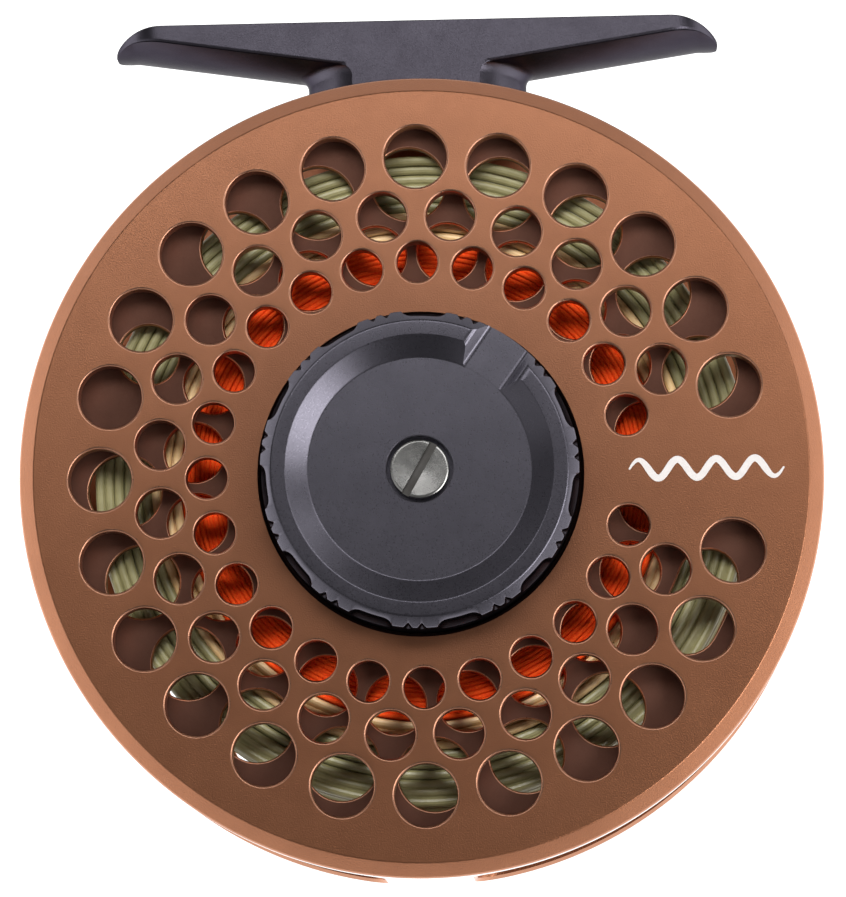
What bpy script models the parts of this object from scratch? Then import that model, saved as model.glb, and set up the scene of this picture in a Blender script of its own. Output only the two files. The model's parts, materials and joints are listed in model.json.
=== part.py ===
"""Large-arbor fly reel with a ported frame, a disc drag and a full spool of line.

Metres, +Z up.  The origin is the middle of the foot's saddle, where the rod's reel seat
touches it: +X runs along the rod, +Z points out of the foot towards the rod, -Y is the
drag side and +Y is the handle side.  The spindle axis runs along Y below the origin.

Turned parts are drawn in the reel frame, whose local z runs along the spindle towards
the drag knob and whose local x and y are world X and Z.  Lengths below are millimetres.
"""
import math

import bmesh
import bpy
from mathutils import Matrix, Vector

MM = 0.001

# Driving dimensions, in millimetres.
AXIS_DROP = 46.4             # saddle down to the spindle axis
GAP = 0.3                    # clearance kept between touching pieces
REEL_R = 41.25               # outside of the frame and of the spool's palming rim
CAGE_R = 38.9                # inside of the frame's rings and pillars
FACE_H = 14.0                # drag-side face, above the foot's mid plane
WEB_T = 2.2                  # thickness of the ported drag-side plate
RIM_CHAMFER = 1.5            # width of the plate's edge chamfer
RIM_LOW = 9.8                # underside of the drag-side rim, top of the windows
RING_TOP = -7.0              # handle-side ring of the cage
RING_LOW = -10.5
CUP_R = 17.2                 # drag housing, outside
CUP_BORE_R = 14.9
CUP_LOW = -3.4               # outside face of the housing's floor
COVER_SEAT_H = 9.2
KNOB_R = 16.2
KNOB_TOP = 19.45
KNOB_FLOOR = 18.5            # dished middle of the knob
KNOB_LOW = 11.7
POINTER_ANGLE = 54.7         # degrees from +X towards +Z, seen from the drag side
KNOB_GROUPS = 11             # scallops round the knob's edge, the pointer counted as one
SPOOL_R = 38.4               # inner flange
SPOOL_TOP = 10.4
FLANGE_T = 1.4
OUTER_FLANGE_TOP = -9.5
OUTER_FLANGE_LOW = -11.0
PALM_TOP = -10.85            # palming rim
PALM_LOW = -14.0
ARBOR_R = 19.0
ARBOR_BORE_R = 17.6
SPOOL_WEB_TOP = -6.8
SPOOL_WEB_LOW = -8.8
BACKING_R = 24.6             # outside of each wound line
RUNNING_R = 27.7
LINE_R = 33.8
HANDLE_R = 31.0              # handle's distance from the spindle
HANDLE_ANGLE = 154.6
FOOT_LENGTH = 63.5
FOOT_WIDTH = 14.0
SADDLE_R = 12.5              # concave top of the foot
FOOT_UNDER_R = 23.0          # convex underside of the foot's wings
FOOT_TIP = 5.25              # length of the rounded ends of the foot in plan
PEDESTAL_FLAT = 6.6          # half length of the pedestal's straight sides
PEDESTAL_HALF = 11.5
SHAFT_R = 2.7
HEX_R = 3.2
GEAR_R = 9.0
GEAR_TEETH = 24
PAWL_ANGLE = 200.0
PAWL_R = 13.6
FOOT_SCREW_X = 5.5

# Rings of ports: radius of the ring, radius of a port, first angle, step, number.
PLATE_PORTS = (
    (32.84, 3.2, 15.0, 15.0, 23),
    (26.87, 2.5, 22.5, 15.0, 22),
    (21.89, 2.07, 15.0, 15.0, 23),
)
SPOOL_PORT_STEP = 18.0
SPOOL_PORTS = 20
SPOOL_OUTER_PORT = (30.6, 3.75, 1.6)
SPOOL_INNER_PORT = (23.55, 3.05, 10.6)


# Collections, materials and parents.

def clear_scene():
    for obj in list(bpy.data.objects):
        bpy.data.objects.remove(obj, do_unlink=True)


def new_collection(name):
    collection = bpy.data.collections.new(name)
    bpy.context.scene.collection.children.link(collection)
    return collection


def make_material(name, colour, roughness, metallic):
    material = bpy.data.materials.new(name)
    material.use_nodes = True
    shader = material.node_tree.nodes["Principled BSDF"]
    shader.inputs["Base Color"].default_value = (*colour, 1.0)
    shader.inputs["Roughness"].default_value = roughness
    shader.inputs["Metallic"].default_value = metallic
    return material


def make_empty(name, parent, location, rotation=(0.0, 0.0, 0.0)):
    empty = bpy.data.objects.new(name, None)
    GUIDES.objects.link(empty)
    empty.parent = parent
    empty.location = [value * MM for value in location]
    empty.rotation_euler = rotation
    return empty


def add_object(name, mesh, parent, material=None):
    """Link a part, or a cutter when it has no material."""
    obj = bpy.data.objects.new(name, mesh)
    obj.parent = parent
    if material is None:
        GUIDES.objects.link(obj)
        obj.hide_render = True
        obj.display_type = "WIRE"
    else:
        PARTS.objects.link(obj)
        mesh.materials.append(material)
    return obj


# Shape helpers.

def polar(radius, angle, height=0.0):
    turn = math.radians(angle)
    return Vector((radius * math.cos(turn), radius * math.sin(turn), height))


def ring_profile(inner, outer, low, high):
    return [(inner, high), (outer, high), (outer, low), (inner, low)]


def turned(name, profile, parent, material=None, segments=24):
    """Turn a profile of (radius, height) points that runs down its outer side."""
    mesh = bpy.data.meshes.new(name)
    bm = bmesh.new()
    verts = [bm.verts.new((radius * MM, 0.0, height * MM)) for radius, height in profile]
    for start, end in zip(verts, verts[1:]):
        bm.edges.new((start, end))
    if profile[0][0] > 0.0:
        bm.edges.new((verts[-1], verts[0]))
    bm.to_mesh(mesh)
    bm.free()
    obj = add_object(name, mesh, parent, material)
    screw = obj.modifiers.new("turn", "SCREW")
    screw.axis = "Z"
    screw.steps = segments
    screw.render_steps = segments
    screw.use_merge_vertices = True
    screw.merge_threshold = 0.000001
    return obj


def add_cylinder(bm, radius, low, high, centre=(0.0, 0.0), sides=8, turn=0.0):
    place = Matrix.Translation((centre[0] * MM, centre[1] * MM, (low + high) / 2 * MM))
    bmesh.ops.create_cone(
        bm, cap_ends=True, segments=sides, radius1=radius * MM, radius2=radius * MM,
        depth=(high - low) * MM, matrix=place @ Matrix.Rotation(turn, 4, "Z"))


def cylinders(name, items, parent, material=None, sides=8, turn=0.0):
    """One object of cylinders, each (radius, low, high, centre)."""
    mesh = bpy.data.meshes.new(name)
    bm = bmesh.new()
    for radius, low, high, centre in items:
        add_cylinder(bm, radius, low, high, centre, sides, turn)
    bm.to_mesh(mesh)
    bm.free()
    return add_object(name, mesh, parent, material)


def extruded(name, outline, low, high, parent, material=None, hole=None):
    """Extrude a flat outline of (x, y) points, with an optional hole, as a mesh."""
    curve = bpy.data.curves.new(name, "CURVE")
    curve.dimensions = "2D"
    curve.fill_mode = "BOTH"
    curve.extrude = (high - low) / 2 * MM
    for points in [outline] + ([hole] if hole else []):
        spline = curve.splines.new("POLY")
        spline.points.add(len(points) - 1)
        for point, (x, y) in zip(spline.points, points):
            point.co = (x * MM, y * MM, 0.0, 1.0)
        spline.use_cyclic_u = True
    return curve_to_mesh(name, curve, parent, material, (low + high) / 2)


def wire_coil(name, radius, wire, low, high, turns, centre, parent, material):
    """A coil spring of round wire about the local z axis."""
    per_turn = 8
    count = int(turns * per_turn) + 1
    curve = bpy.data.curves.new(name, "CURVE")
    curve.dimensions = "3D"
    curve.bevel_depth = wire * MM
    curve.bevel_resolution = 2
    curve.use_fill_caps = True
    spline = curve.splines.new("POLY")
    spline.points.add(count - 1)
    for index, point in enumerate(spline.points):
        place = polar(radius, 360.0 * index / per_turn)
        height = low + wire + (high - low - 2 * wire) * index / (count - 1)
        point.co = ((centre[0] + place.x) * MM, (centre[1] + place.y) * MM, height * MM, 1.0)
    coil = curve_to_mesh(name, curve, parent, material, 0.0)
    bm = bmesh.new()
    bm.from_mesh(coil.data)
    bmesh.ops.triangulate(bm, faces=bm.faces)
    bm.to_mesh(coil.data)
    bm.free()
    return coil


def curve_to_mesh(name, curve, parent, material, height):
    source = bpy.data.objects.new(name + "_curve", curve)
    GUIDES.objects.link(source)
    evaluated = source.evaluated_get(bpy.context.evaluated_depsgraph_get())
    mesh = bpy.data.meshes.new_from_object(evaluated)
    bpy.data.objects.remove(source, do_unlink=True)
    bm = bmesh.new()
    bm.from_mesh(mesh)
    bmesh.ops.remove_doubles(bm, verts=bm.verts, dist=0.000005)
    bmesh.ops.translate(bm, verts=bm.verts, vec=(0.0, 0.0, height * MM))
    bmesh.ops.recalc_face_normals(bm, faces=bm.faces)
    bm.to_mesh(mesh)
    bm.free()
    mesh.materials.clear()
    return add_object(name, mesh, parent, material)


def boolean(obj, other, operation="DIFFERENCE"):
    modifier = obj.modifiers.new(operation.lower() + " " + other.name, "BOOLEAN")
    modifier.operation = operation
    modifier.solver = "EXACT"
    modifier.object = other


def smooth(obj, angle=30.0):
    obj.data.shade_smooth()
    obj.data.set_sharp_from_angle(angle=math.radians(angle))


def sector(inner, outer, start, end, steps=8):
    """Outline of a piece of a ring between two angles."""
    angles = [start + (end - start) * index / steps for index in range(steps + 1)]
    outside = [polar(outer, angle).xy for angle in angles]
    inside = [polar(inner, angle).xy for angle in reversed(angles)]
    return [tuple(point) for point in outside + inside]


# The frame.

def make_frame():
    """Cage, ported plate and drag housing, machined as one piece."""
    plate_low = FACE_H - WEB_T
    profile = [
        (KNOB_R + GAP, FACE_H),
        (REEL_R - RIM_CHAMFER, FACE_H),
        (REEL_R, FACE_H - 1.2),
        (REEL_R, RING_LOW),
        (CAGE_R, RING_LOW),
        (CAGE_R, plate_low),
        (CUP_R, plate_low),
        (CUP_R, CUP_LOW),
        (4.4, CUP_LOW),
        (4.4, -2.6),
        (6.8, -2.6),
        (6.8, 0.2),
        (8.4, 0.2),
        (8.4, -1.0),
        (CUP_BORE_R, -1.0),
        (CUP_BORE_R, COVER_SEAT_H),
        (KNOB_R, COVER_SEAT_H),
        (KNOB_R, 11.4),
        (KNOB_R + GAP, 11.4),
    ]
    frame = turned("frame", profile, REEL, COPPER, segments=44)

    # Four windows leave a wide pillar under the foot and three narrow ones.
    pillars = [(90.0, 17.0), (180.0, 6.8), (270.0, 6.8), (360.0, 6.8)]
    for index, (angle, half) in enumerate(pillars):
        before, before_half = pillars[index - 1]
        start = before + before_half
        end = angle - half
        if end < start:
            start -= 360.0
        outline = sector(CAGE_R - 4.0, REEL_R + 2.0, start, end)
        window = extruded("window_%d" % index, outline, RING_TOP, RIM_LOW, REEL)
        boolean(frame, window)

    for number, (ring_r, port_r, first, step, count) in enumerate(PLATE_PORTS):
        ports = [(port_r, plate_low - 2.0, FACE_H + 2.0, polar(ring_r, first + step * index).xy)
                 for index in range(count)]
        boolean(frame, cylinders("plate_ports_%d" % number, ports, REEL, sides=6))

    keyways = [(1.0, -0.9, COVER_SEAT_H + 0.5, polar(CUP_BORE_R, 30.0 + 120.0 * index).xy)
               for index in range(3)]
    boolean(frame, cylinders("keyways", keyways, REEL))
    pawl_seat = [(1.2, CUP_LOW - 1.0, CUP_LOW + 1.2, polar(PAWL_R, PAWL_ANGLE).xy)]
    boolean(frame, cylinders("pawl_seat", pawl_seat, REEL, sides=12))

    sides = (-FOOT_SCREW_X, FOOT_SCREW_X)
    holes = [(1.7, 39.0 - AXIS_DROP, -2.0, (x, 0.0)) for x in sides]
    boolean(frame, cylinders("pillar_screw_holes", holes, None, sides=12))
    seats = [(2.7, 37.0 - AXIS_DROP, 39.9 - AXIS_DROP, (x, 0.0)) for x in sides]
    boolean(frame, cylinders("pillar_head_seats", seats, None, sides=12))


# The foot, in world axes with its saddle at the origin.

def saddle_height(y):
    return SADDLE_R - math.sqrt(SADDLE_R ** 2 - y ** 2)


def wing_underside(x, y):
    """Convex underside, which climbs from the pedestal towards the tips."""
    climb = math.tan(math.radians(8.4))
    centre = -3.7 + max(0.0, abs(x) - PEDESTAL_FLAT) * climb
    return min(centre, -0.5) + FOOT_UNDER_R - math.sqrt(FOOT_UNDER_R ** 2 - y ** 2)


def foot_half_width(x):
    reach = max(abs(x) - (FOOT_LENGTH / 2 - FOOT_TIP), 0.0) / FOOT_TIP
    return FOOT_WIDTH / 2 * (1.0 - min(reach, 0.995) ** 2.2) ** (1.0 / 2.2)


def foot_section(bm, x, steps=8):
    half = foot_half_width(x)
    across = [half * (2 * index / steps - 1) for index in range(steps + 1)]
    top = [(x, y, saddle_height(y)) for y in across]
    under = [(x, y, wing_underside(x, y)) for y in reversed(across)]
    return [bm.verts.new([value * MM for value in point]) for point in top + under]


def make_foot():
    mesh = bpy.data.meshes.new("foot")
    bm = bmesh.new()
    half_stations = [7.0, 18.0, 26.5, 28.3, 29.8, 30.9, 31.5, FOOT_LENGTH / 2]
    stations = [-x for x in reversed(half_stations)] + half_stations
    loops = [foot_section(bm, x) for x in stations]
    bm.faces.new(loops[0])
    bm.faces.new(loops[-1])
    for first, second in zip(loops, loops[1:]):
        for index in range(len(first)):
            after = (index + 1) % len(first)
            bm.faces.new((first[index], first[after], second[after], second[index]))
    bmesh.ops.recalc_face_normals(bm, faces=bm.faces)
    bm.to_mesh(mesh)
    bm.free()
    foot = add_object("foot", mesh, None, GUNMETAL)

    outline = pedestal_outline()
    pedestal = extruded("pedestal", outline, -7.7, -1.2, None)
    boolean(foot, pedestal, "UNION")
    seat_r = REEL_R + GAP
    seat = cylinders("foot_seat", [(seat_r, -20.0, 20.0, (0.0, 0.0))], REEL, sides=96,
                     turn=math.pi / 96)
    boolean(foot, seat)
    holes = cylinders("foot_screw_holes", [
        (1.7, -9.0, -2.35, (side * FOOT_SCREW_X, 0.0)) for side in (-1, 1)], None, sides=12)
    boolean(foot, holes)


def pedestal_outline(steps=8):
    """Straight sides joined by a shallow arc at each end."""
    half_width = FOOT_WIDTH / 2
    bulge = PEDESTAL_HALF - PEDESTAL_FLAT
    arc_r = (half_width ** 2 + bulge ** 2) / (2 * bulge)
    spread = math.asin(half_width / arc_r)
    end = []
    for index in range(steps + 1):
        turn = spread * (2 * index / steps - 1)
        end.append((PEDESTAL_HALF - arc_r + arc_r * math.cos(turn), arc_r * math.sin(turn)))
    return end + [(-x, -y) for x, y in end]


def make_foot_screws():
    """Two machine screws come up through the pillar into the foot."""
    for index, side in enumerate((-1, 1)):
        place = make_empty("foot_screw_axis_%d" % (index + 1), None,
                           (side * FOOT_SCREW_X, 0.0, -AXIS_DROP))
        profile = [(0.0, 43.7), (1.35, 43.7), (1.35, 39.6), (2.4, 39.6), (2.4, 38.9), (0.0, 38.9)]
        turned("foot_screw_%d" % (index + 1), profile, place, STEEL, segments=16)


# The drag, from the housing's floor up to the knob.

def disc_with_ears(name, low, high, material):
    """A washer with three ears that key it to the housing."""
    disc = turned(name, ring_profile(9.0, 14.5, low, high), REEL, material)
    ears = [(0.7, low, high, polar(14.6, 30.0 + 120.0 * index).xy) for index in range(3)]
    boolean(disc, cylinders(name + "_ears", ears, REEL), "UNION")


def disc_with_hex(name, low, high, material):
    """A washer with a six-sided hole that keys it to the drum."""
    mesh_cut = cylinders(name + "_hex", [(8.0, low - 1.0, high + 1.0, (0.0, 0.0))], REEL, sides=6)
    disc = turned(name, [(0.0, high), (14.3, high), (14.3, low), (0.0, low)], REEL, material)
    boolean(disc, mesh_cut)


def make_drag_stack():
    turned("shaft_bearing", ring_profile(3.0, 6.5, -2.3, 0.0), REEL, STEEL)
    turned("shaft_seal", ring_profile(3.0, 4.1, -3.3, -2.65), REEL, RUBBER, segments=16)
    disc_with_ears("steel_disc_1", -0.7, 0.3, STEEL)
    disc_with_hex("carbon_disc_1", 0.6, 1.6, CARBON)
    disc_with_ears("steel_disc_2", 1.9, 2.7, STEEL)
    disc_with_hex("carbon_disc_2", 3.0, 4.0, CARBON)
    disc_with_ears("pressure_plate", 4.3, 5.5, STEEL)
    drum = cylinders("drag_drum", [(7.6, 0.5, 4.1, (0.0, 0.0))], REEL, ALUMINIUM, sides=6)
    boolean(drum, cylinders("drum_bore", [(5.3, -1.0, 6.0, (0.0, 0.0))], REEL, sides=24))
    spring = [(9.2, 6.3), (13.6, 7.3), (13.6, 6.8), (9.2, 5.8)]
    turned("belleville_spring", spring, REEL, STEEL)
    turned("thrust_ring", ring_profile(9.4, 12.8, 7.9, 8.9), REEL, STEEL)
    for index in range(3):
        place = make_empty("push_pin_axis_%d" % (index + 1), REEL,
                           polar(11.0, 90.0 + 120.0 * index))
        turned("push_pin_%d" % (index + 1), [(0.0, 11.4), (0.9, 11.4), (0.9, 9.2), (0.0, 9.2)],
               place, STEEL, segments=12)


def make_drag_cover():
    """Threaded cover with the post that the knob turns on."""
    profile = [
        (0.0, 11.0),
        (1.7, 11.0),
        (1.7, 15.3),
        (3.4, 15.3),
        (3.4, 11.3),
        (15.9, 11.3),
        (15.9, 10.9),
        (15.1, 10.9),
        (15.1, 10.0),
        (15.9, 10.0),
        (15.9, 9.5),
        (6.0, 9.5),
        (6.0, 5.9),
        (4.7, 5.9),
        (4.7, 9.1),
        (0.0, 9.1),
    ]
    cover = turned("drag_cover", profile, REEL, ALUMINIUM)
    holes = [(1.2, 9.0, 12.0, polar(11.0, 90.0 + 120.0 * index).xy) for index in range(3)]
    boolean(cover, cylinders("pin_holes", holes, REEL))
    turned("shaft_bushing", ring_profile(3.0, 4.4, 6.0, 8.4), REEL, BRONZE, segments=16)
    section = [(15.55 + 0.3 * math.cos(turn), 10.45 + 0.3 * math.sin(turn))
               for turn in (-math.pi / 3 * index for index in range(6))]
    turned("cover_seal", section, REEL, RUBBER)


def knob_angle(index):
    """Centre of each group on the knob's edge, counted from the pointer."""
    return POINTER_ANGLE + 360.0 / KNOB_GROUPS * index


def make_drag_knob():
    profile = [
        (3.4, KNOB_FLOOR),
        (11.4, KNOB_FLOOR),
        (13.65, KNOB_TOP),
        (15.0, KNOB_TOP),
        (KNOB_R, KNOB_TOP - 1.2),
        (KNOB_R, KNOB_LOW),
        (3.7, KNOB_LOW),
        (3.7, 15.6),
        (1.8, 15.6),
        (1.8, 17.0),
        (3.4, 17.0),
    ]
    knob = turned("drag_knob", profile, REEL, GUNMETAL, segments=36)
    boolean(knob, pointer_cutter())
    scallops = [(4.36, KNOB_LOW + 1.5, KNOB_TOP + 1.0, polar(19.86, knob_angle(index)).xy)
                for index in range(1, KNOB_GROUPS)]
    boolean(knob, cylinders("knob_scallops", scallops, REEL, sides=20))
    pocket = [(1.3, KNOB_LOW - 1.0, 15.2, polar(8.0, 270.0).xy)]
    boolean(knob, cylinders("detent_pocket", pocket, REEL, sides=12))
    screw = turned("knob_screw", [
        (0.0, 18.4), (3.0, 18.4), (3.0, 17.4), (1.4, 17.4), (1.4, 11.4), (0.0, 11.4)],
        REEL, STEEL, segments=20)
    slot_mesh = bpy.data.meshes.new("screw_slot")
    bm = bmesh.new()
    bmesh.ops.create_cube(bm, size=1.0, matrix=(
        Matrix.Translation((0.0, 0.0, 18.4 * MM))
        @ Matrix.Rotation(math.radians(60.0), 4, "Z")
        @ Matrix.Diagonal((8.0 * MM, 0.85 * MM, 1.0 * MM, 1.0))))
    bm.to_mesh(slot_mesh)
    bm.free()
    boolean(screw, add_object("screw_slot", slot_mesh, REEL))
    place = make_empty("detent_axis", REEL, polar(8.0, 270.0))
    ball = [(math.sin(turn), 12.65 + math.cos(turn))
            for turn in (math.pi / 6 * index for index in range(7))]
    ball[0] = (0.0, ball[0][1])
    ball[-1] = (0.0, ball[-1][1])
    turned("detent_ball", ball, place, STEEL, segments=12)
    wire_coil("detent_spring", 0.75, 0.1, 13.95, 14.9, 2.0, (0.0, 0.0), place, STEEL)


def pointer_cutter():
    """Groove whose side walls lean out, level with the knob's dished middle."""
    mesh = bpy.data.meshes.new("pointer_groove")
    bm = bmesh.new()
    bmesh.ops.create_cube(bm, size=1.0)
    for vert in bm.verts:
        top = vert.co.z > 0
        vert.co.x = (9.0 if vert.co.x < 0 else 19.0) * MM
        vert.co.y = math.copysign((5.2 if top else 2.375) * MM, vert.co.y)
        vert.co.z = (KNOB_FLOOR + 1.7 if top else KNOB_FLOOR) * MM
    bmesh.ops.rotate(bm, verts=bm.verts, cent=(0.0, 0.0, 0.0),
                     matrix=Matrix.Rotation(math.radians(POINTER_ANGLE), 3, "Z"))
    bm.to_mesh(mesh)
    bm.free()
    return add_object("pointer_groove", mesh, REEL)


# The drive shaft, its clutch and the click.

def make_shaft():
    shaft = turned("drive_shaft", [
        (0.0, 8.6), (SHAFT_R, 8.6), (SHAFT_R, -5.5), (2.4, -5.5), (2.4, -9.0), (2.0, -9.0),
        (2.0, -14.0), (0.0, -14.0)], REEL, STEEL, segments=16)
    boolean(shaft, cylinders("shaft_hex", [(HEX_R, -9.0, -5.6, (0.0, 0.0))], REEL, sides=6), "UNION")
    turned("one_way_clutch", ring_profile(3.0, 5.0, 0.8, 4.0), REEL, STEEL, segments=16)

    outline = []
    for index in range(GEAR_TEETH):
        centre = PAWL_ANGLE + 360.0 / GEAR_TEETH * (index + 0.5)
        outline += [tuple(polar(GEAR_R, centre - 1.8).xy), tuple(polar(GEAR_R, centre + 1.8).xy),
                    tuple(polar(GEAR_R - 0.7, centre + 360.0 / GEAR_TEETH / 2).xy)]
    bore = [tuple(polar(3.0, 22.5 * index).xy) for index in range(16)]
    extruded("click_gear", outline, -5.3, -3.9, REEL, BRONZE, hole=bore)


def make_click():
    """A pawl on a pin in the housing's floor, with its tip at the click gear."""
    place = make_empty("pawl_axis", REEL, polar(PAWL_R, PAWL_ANGLE),
                       (0.0, 0.0, math.radians(PAWL_ANGLE + 180.0)))
    reach = PAWL_R - GEAR_R - GAP - 0.05
    body = [tuple(polar(2.2, angle).xy) for angle in range(50, 311, 20)]
    bore = [tuple(polar(1.2, 30.0 * index).xy) for index in range(12)]
    extruded("click_pawl", [(reach, -0.25), (reach, 0.25)] + body, -5.3, -3.9, place, STEEL,
             hole=bore)
    turned("pawl_pin", [(0.0, -2.5), (0.9, -2.5), (0.9, -6.4), (0.0, -6.4)], place, STEEL,
           segments=12)
    wire_coil("pawl_spring", 1.6, 0.13, -6.45, -5.6, 1.25, (0.0, 0.0), place, STEEL)


# The spool and what it carries.

def outer_port_items(low, high):
    """The outer ring of ports leaves room for the handle and for the balance slot."""
    ring_r, port_r, first = SPOOL_OUTER_PORT
    items = []
    for index in range(SPOOL_PORTS):
        angle = first + SPOOL_PORT_STEP * index
        from_handle = (angle - HANDLE_ANGLE + 90.0) % 180.0 - 90.0
        if abs(from_handle) > SPOOL_PORT_STEP * 0.75:
            items.append((port_r, low, high, polar(ring_r, angle).xy))
    return items


def inner_port_items(low, high):
    ring_r, port_r, first = SPOOL_INNER_PORT
    return [(port_r, low, high, polar(ring_r, first + SPOOL_PORT_STEP * index).xy)
            for index in range(SPOOL_PORTS)]


def make_spool():
    profile = [
        (ARBOR_BORE_R, SPOOL_TOP),
        (SPOOL_R, SPOOL_TOP),
        (SPOOL_R, SPOOL_TOP - FLANGE_T),
        (ARBOR_R, SPOOL_TOP - FLANGE_T),
        (ARBOR_R, OUTER_FLANGE_TOP),
        (SPOOL_R, OUTER_FLANGE_TOP),
        (SPOOL_R, PALM_TOP),
        (REEL_R, PALM_TOP),
        (REEL_R, PALM_LOW + 0.8),
        (REEL_R - 0.8, PALM_LOW),
        (39.6, PALM_LOW),
        (38.4, OUTER_FLANGE_LOW - 1.2),
        (37.6, OUTER_FLANGE_LOW),
        (17.2, OUTER_FLANGE_LOW),
        (15.6, SPOOL_WEB_LOW),
        (8.0, SPOOL_WEB_LOW),
        (7.2, -10.4),
        (5.6, -10.4),
        (5.6, SPOOL_WEB_LOW),
        (2.9, SPOOL_WEB_LOW),
        (2.9, -5.6),
        (6.0, -5.6),
        (6.0, SPOOL_WEB_TOP),
        (ARBOR_BORE_R, SPOOL_WEB_TOP),
    ]
    spool = turned("spool", profile, REEL, COPPER, segments=36)

    # The inner flange carries the ports, a hole behind the handle and a balance slot.
    low = SPOOL_TOP - FLANGE_T - 2.0
    items = outer_port_items(low, SPOOL_TOP + 2.0) + inner_port_items(low, SPOOL_TOP + 2.0)
    items.append((3.1, low, SPOOL_TOP + 2.0, polar(HANDLE_R, HANDLE_ANGLE).xy))
    boolean(spool, cylinders("inner_flange_ports", items, REEL, sides=6))
    slot = sector(28.2, 34.2, HANDLE_ANGLE + 171.0, HANDLE_ANGLE + 189.0)
    boolean(spool, extruded("balance_slot", slot, low, SPOOL_TOP + 2.0, REEL))

    low = OUTER_FLANGE_LOW - 2.0
    high = OUTER_FLANGE_TOP + 2.0
    items = outer_port_items(low, high)
    boolean(spool, cylinders("outer_flange_ports", items, REEL, sides=6))
    web = [(3.4, SPOOL_WEB_LOW - 2.0, SPOOL_WEB_TOP + 1.0, polar(12.0, 60.0 * index + 4.6).xy)
           for index in range(6)]
    boolean(spool, cylinders("web_ports", web, REEL, sides=12))

    # A boss stiffens the flange under the handle, and holds the counterweight opposite.
    boss = [(5.2, -12.2, -10.2, polar(HANDLE_R, HANDLE_ANGLE).xy)]
    boolean(spool, cylinders("handle_boss", boss, REEL, sides=24), "UNION")
    seats = [
        (2.3, -14.0, -9.0, polar(HANDLE_R, HANDLE_ANGLE).xy),
        (4.4, -14.0, -9.0, polar(HANDLE_R, HANDLE_ANGLE + 180.0).xy),
    ]
    boolean(spool, cylinders("handle_seats", seats, REEL, sides=16))
    head_seat = [(3.3, -11.0, -9.0, polar(HANDLE_R, HANDLE_ANGLE).xy)]
    boolean(spool, cylinders("post_head_seat", head_seat, REEL, sides=16))
    hub_hex = [(HEX_R + 0.4, SPOOL_WEB_LOW - 1.0, -5.0, (0.0, 0.0))]
    boolean(spool, cylinders("hub_hex", hub_hex, REEL, sides=6))


def make_spool_load():
    """The wound lines fill the spool in three bands."""
    low = OUTER_FLANGE_TOP + GAP
    high = SPOOL_TOP - FLANGE_T - GAP
    turned("backing", ring_profile(ARBOR_R + GAP, BACKING_R, low, high), REEL, ORANGE, segments=36)
    turned("running_line", ring_profile(BACKING_R + GAP, RUNNING_R, low, high), REEL, TAN,
           segments=36)
    turned("fly_line", ring_profile(RUNNING_R + GAP, LINE_R, low, high), REEL, GREEN, segments=48)


def make_handle():
    place = make_empty("handle_axis", REEL, polar(HANDLE_R, HANDLE_ANGLE))
    turned("handle_post", [
        (0.0, -9.8), (3.0, -9.8), (3.0, -10.7), (2.0, -10.7), (2.0, -30.6), (1.3, -30.6),
        (1.3, -28.0), (0.0, -28.0)], place, STEEL, segments=20)
    turned("handle_screw", [
        (0.0, -28.4), (1.0, -28.4), (1.0, -30.9), (2.7, -30.9), (2.7, -31.7), (0.0, -31.7)],
        place, STEEL, segments=20)
    grip = [
        (2.3, -12.5), (4.9, -12.5), (5.3, -13.2), (4.7, -16.0), (4.6, -18.5), (5.2, -22.5),
        (6.1, -27.5), (6.3, -30.0), (5.9, -31.6), (4.9, -32.5), (3.1, -32.5), (3.1, -30.6),
        (2.3, -30.6)]
    turned("handle_knob", grip, place, GUNMETAL)
    weight_place = make_empty("counterweight_axis", REEL, polar(HANDLE_R, HANDLE_ANGLE + 180.0))
    turned("counterweight", [
        (0.0, -9.8), (4.1, -9.8), (4.1, -11.3), (5.0, -11.3), (5.0, -12.4), (4.4, -13.0),
        (0.0, -13.0)], weight_place, GUNMETAL, segments=24)


def make_spool_cap():
    turned("spool_cap", [
        (0.0, -14.5), (2.3, -14.5), (2.3, -9.1), (4.0, -9.1), (4.0, -10.7), (6.6, -10.7),
        (7.0, -11.2), (7.0, -14.8), (6.2, -15.6), (0.0, -15.6)], REEL, GUNMETAL)
    turned("cap_retainer", ring_profile(4.3, 5.3, -9.9, -9.4), REEL, STEEL, segments=16)


clear_scene()
PARTS = new_collection("fly_reel")
GUIDES = new_collection("cutters")
COPPER = make_material("copper_anodised", (0.42, 0.21, 0.12), 0.38, 0.9)
GUNMETAL = make_material("gunmetal_anodised", (0.10, 0.09, 0.11), 0.35, 0.9)
STEEL = make_material("stainless_steel", (0.60, 0.60, 0.60), 0.28, 1.0)
ALUMINIUM = make_material("plain_aluminium", (0.66, 0.66, 0.68), 0.35, 1.0)
BRONZE = make_material("bronze", (0.45, 0.30, 0.12), 0.35, 1.0)
CARBON = make_material("carbon_fibre", (0.03, 0.03, 0.03), 0.5, 0.0)
RUBBER = make_material("seal_rubber", (0.02, 0.02, 0.02), 0.7, 0.0)
GREEN = make_material("green_fly_line", (0.20, 0.23, 0.10), 0.45, 0.0)
TAN = make_material("tan_running_line", (0.58, 0.38, 0.17), 0.5, 0.0)
ORANGE = make_material("orange_backing", (0.60, 0.05, 0.01), 0.7, 0.0)
REEL = make_empty("reel_axis", None, (0.0, 0.0, -AXIS_DROP), (math.radians(90.0), 0.0, 0.0))
make_frame()
make_foot()
make_foot_screws()
make_drag_stack()
make_drag_cover()
make_drag_knob()
make_shaft()
make_click()
make_spool()
make_spool_load()
make_handle()
make_spool_cap()
for part in PARTS.objects:
    smooth(part)
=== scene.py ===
import math
import random

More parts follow.
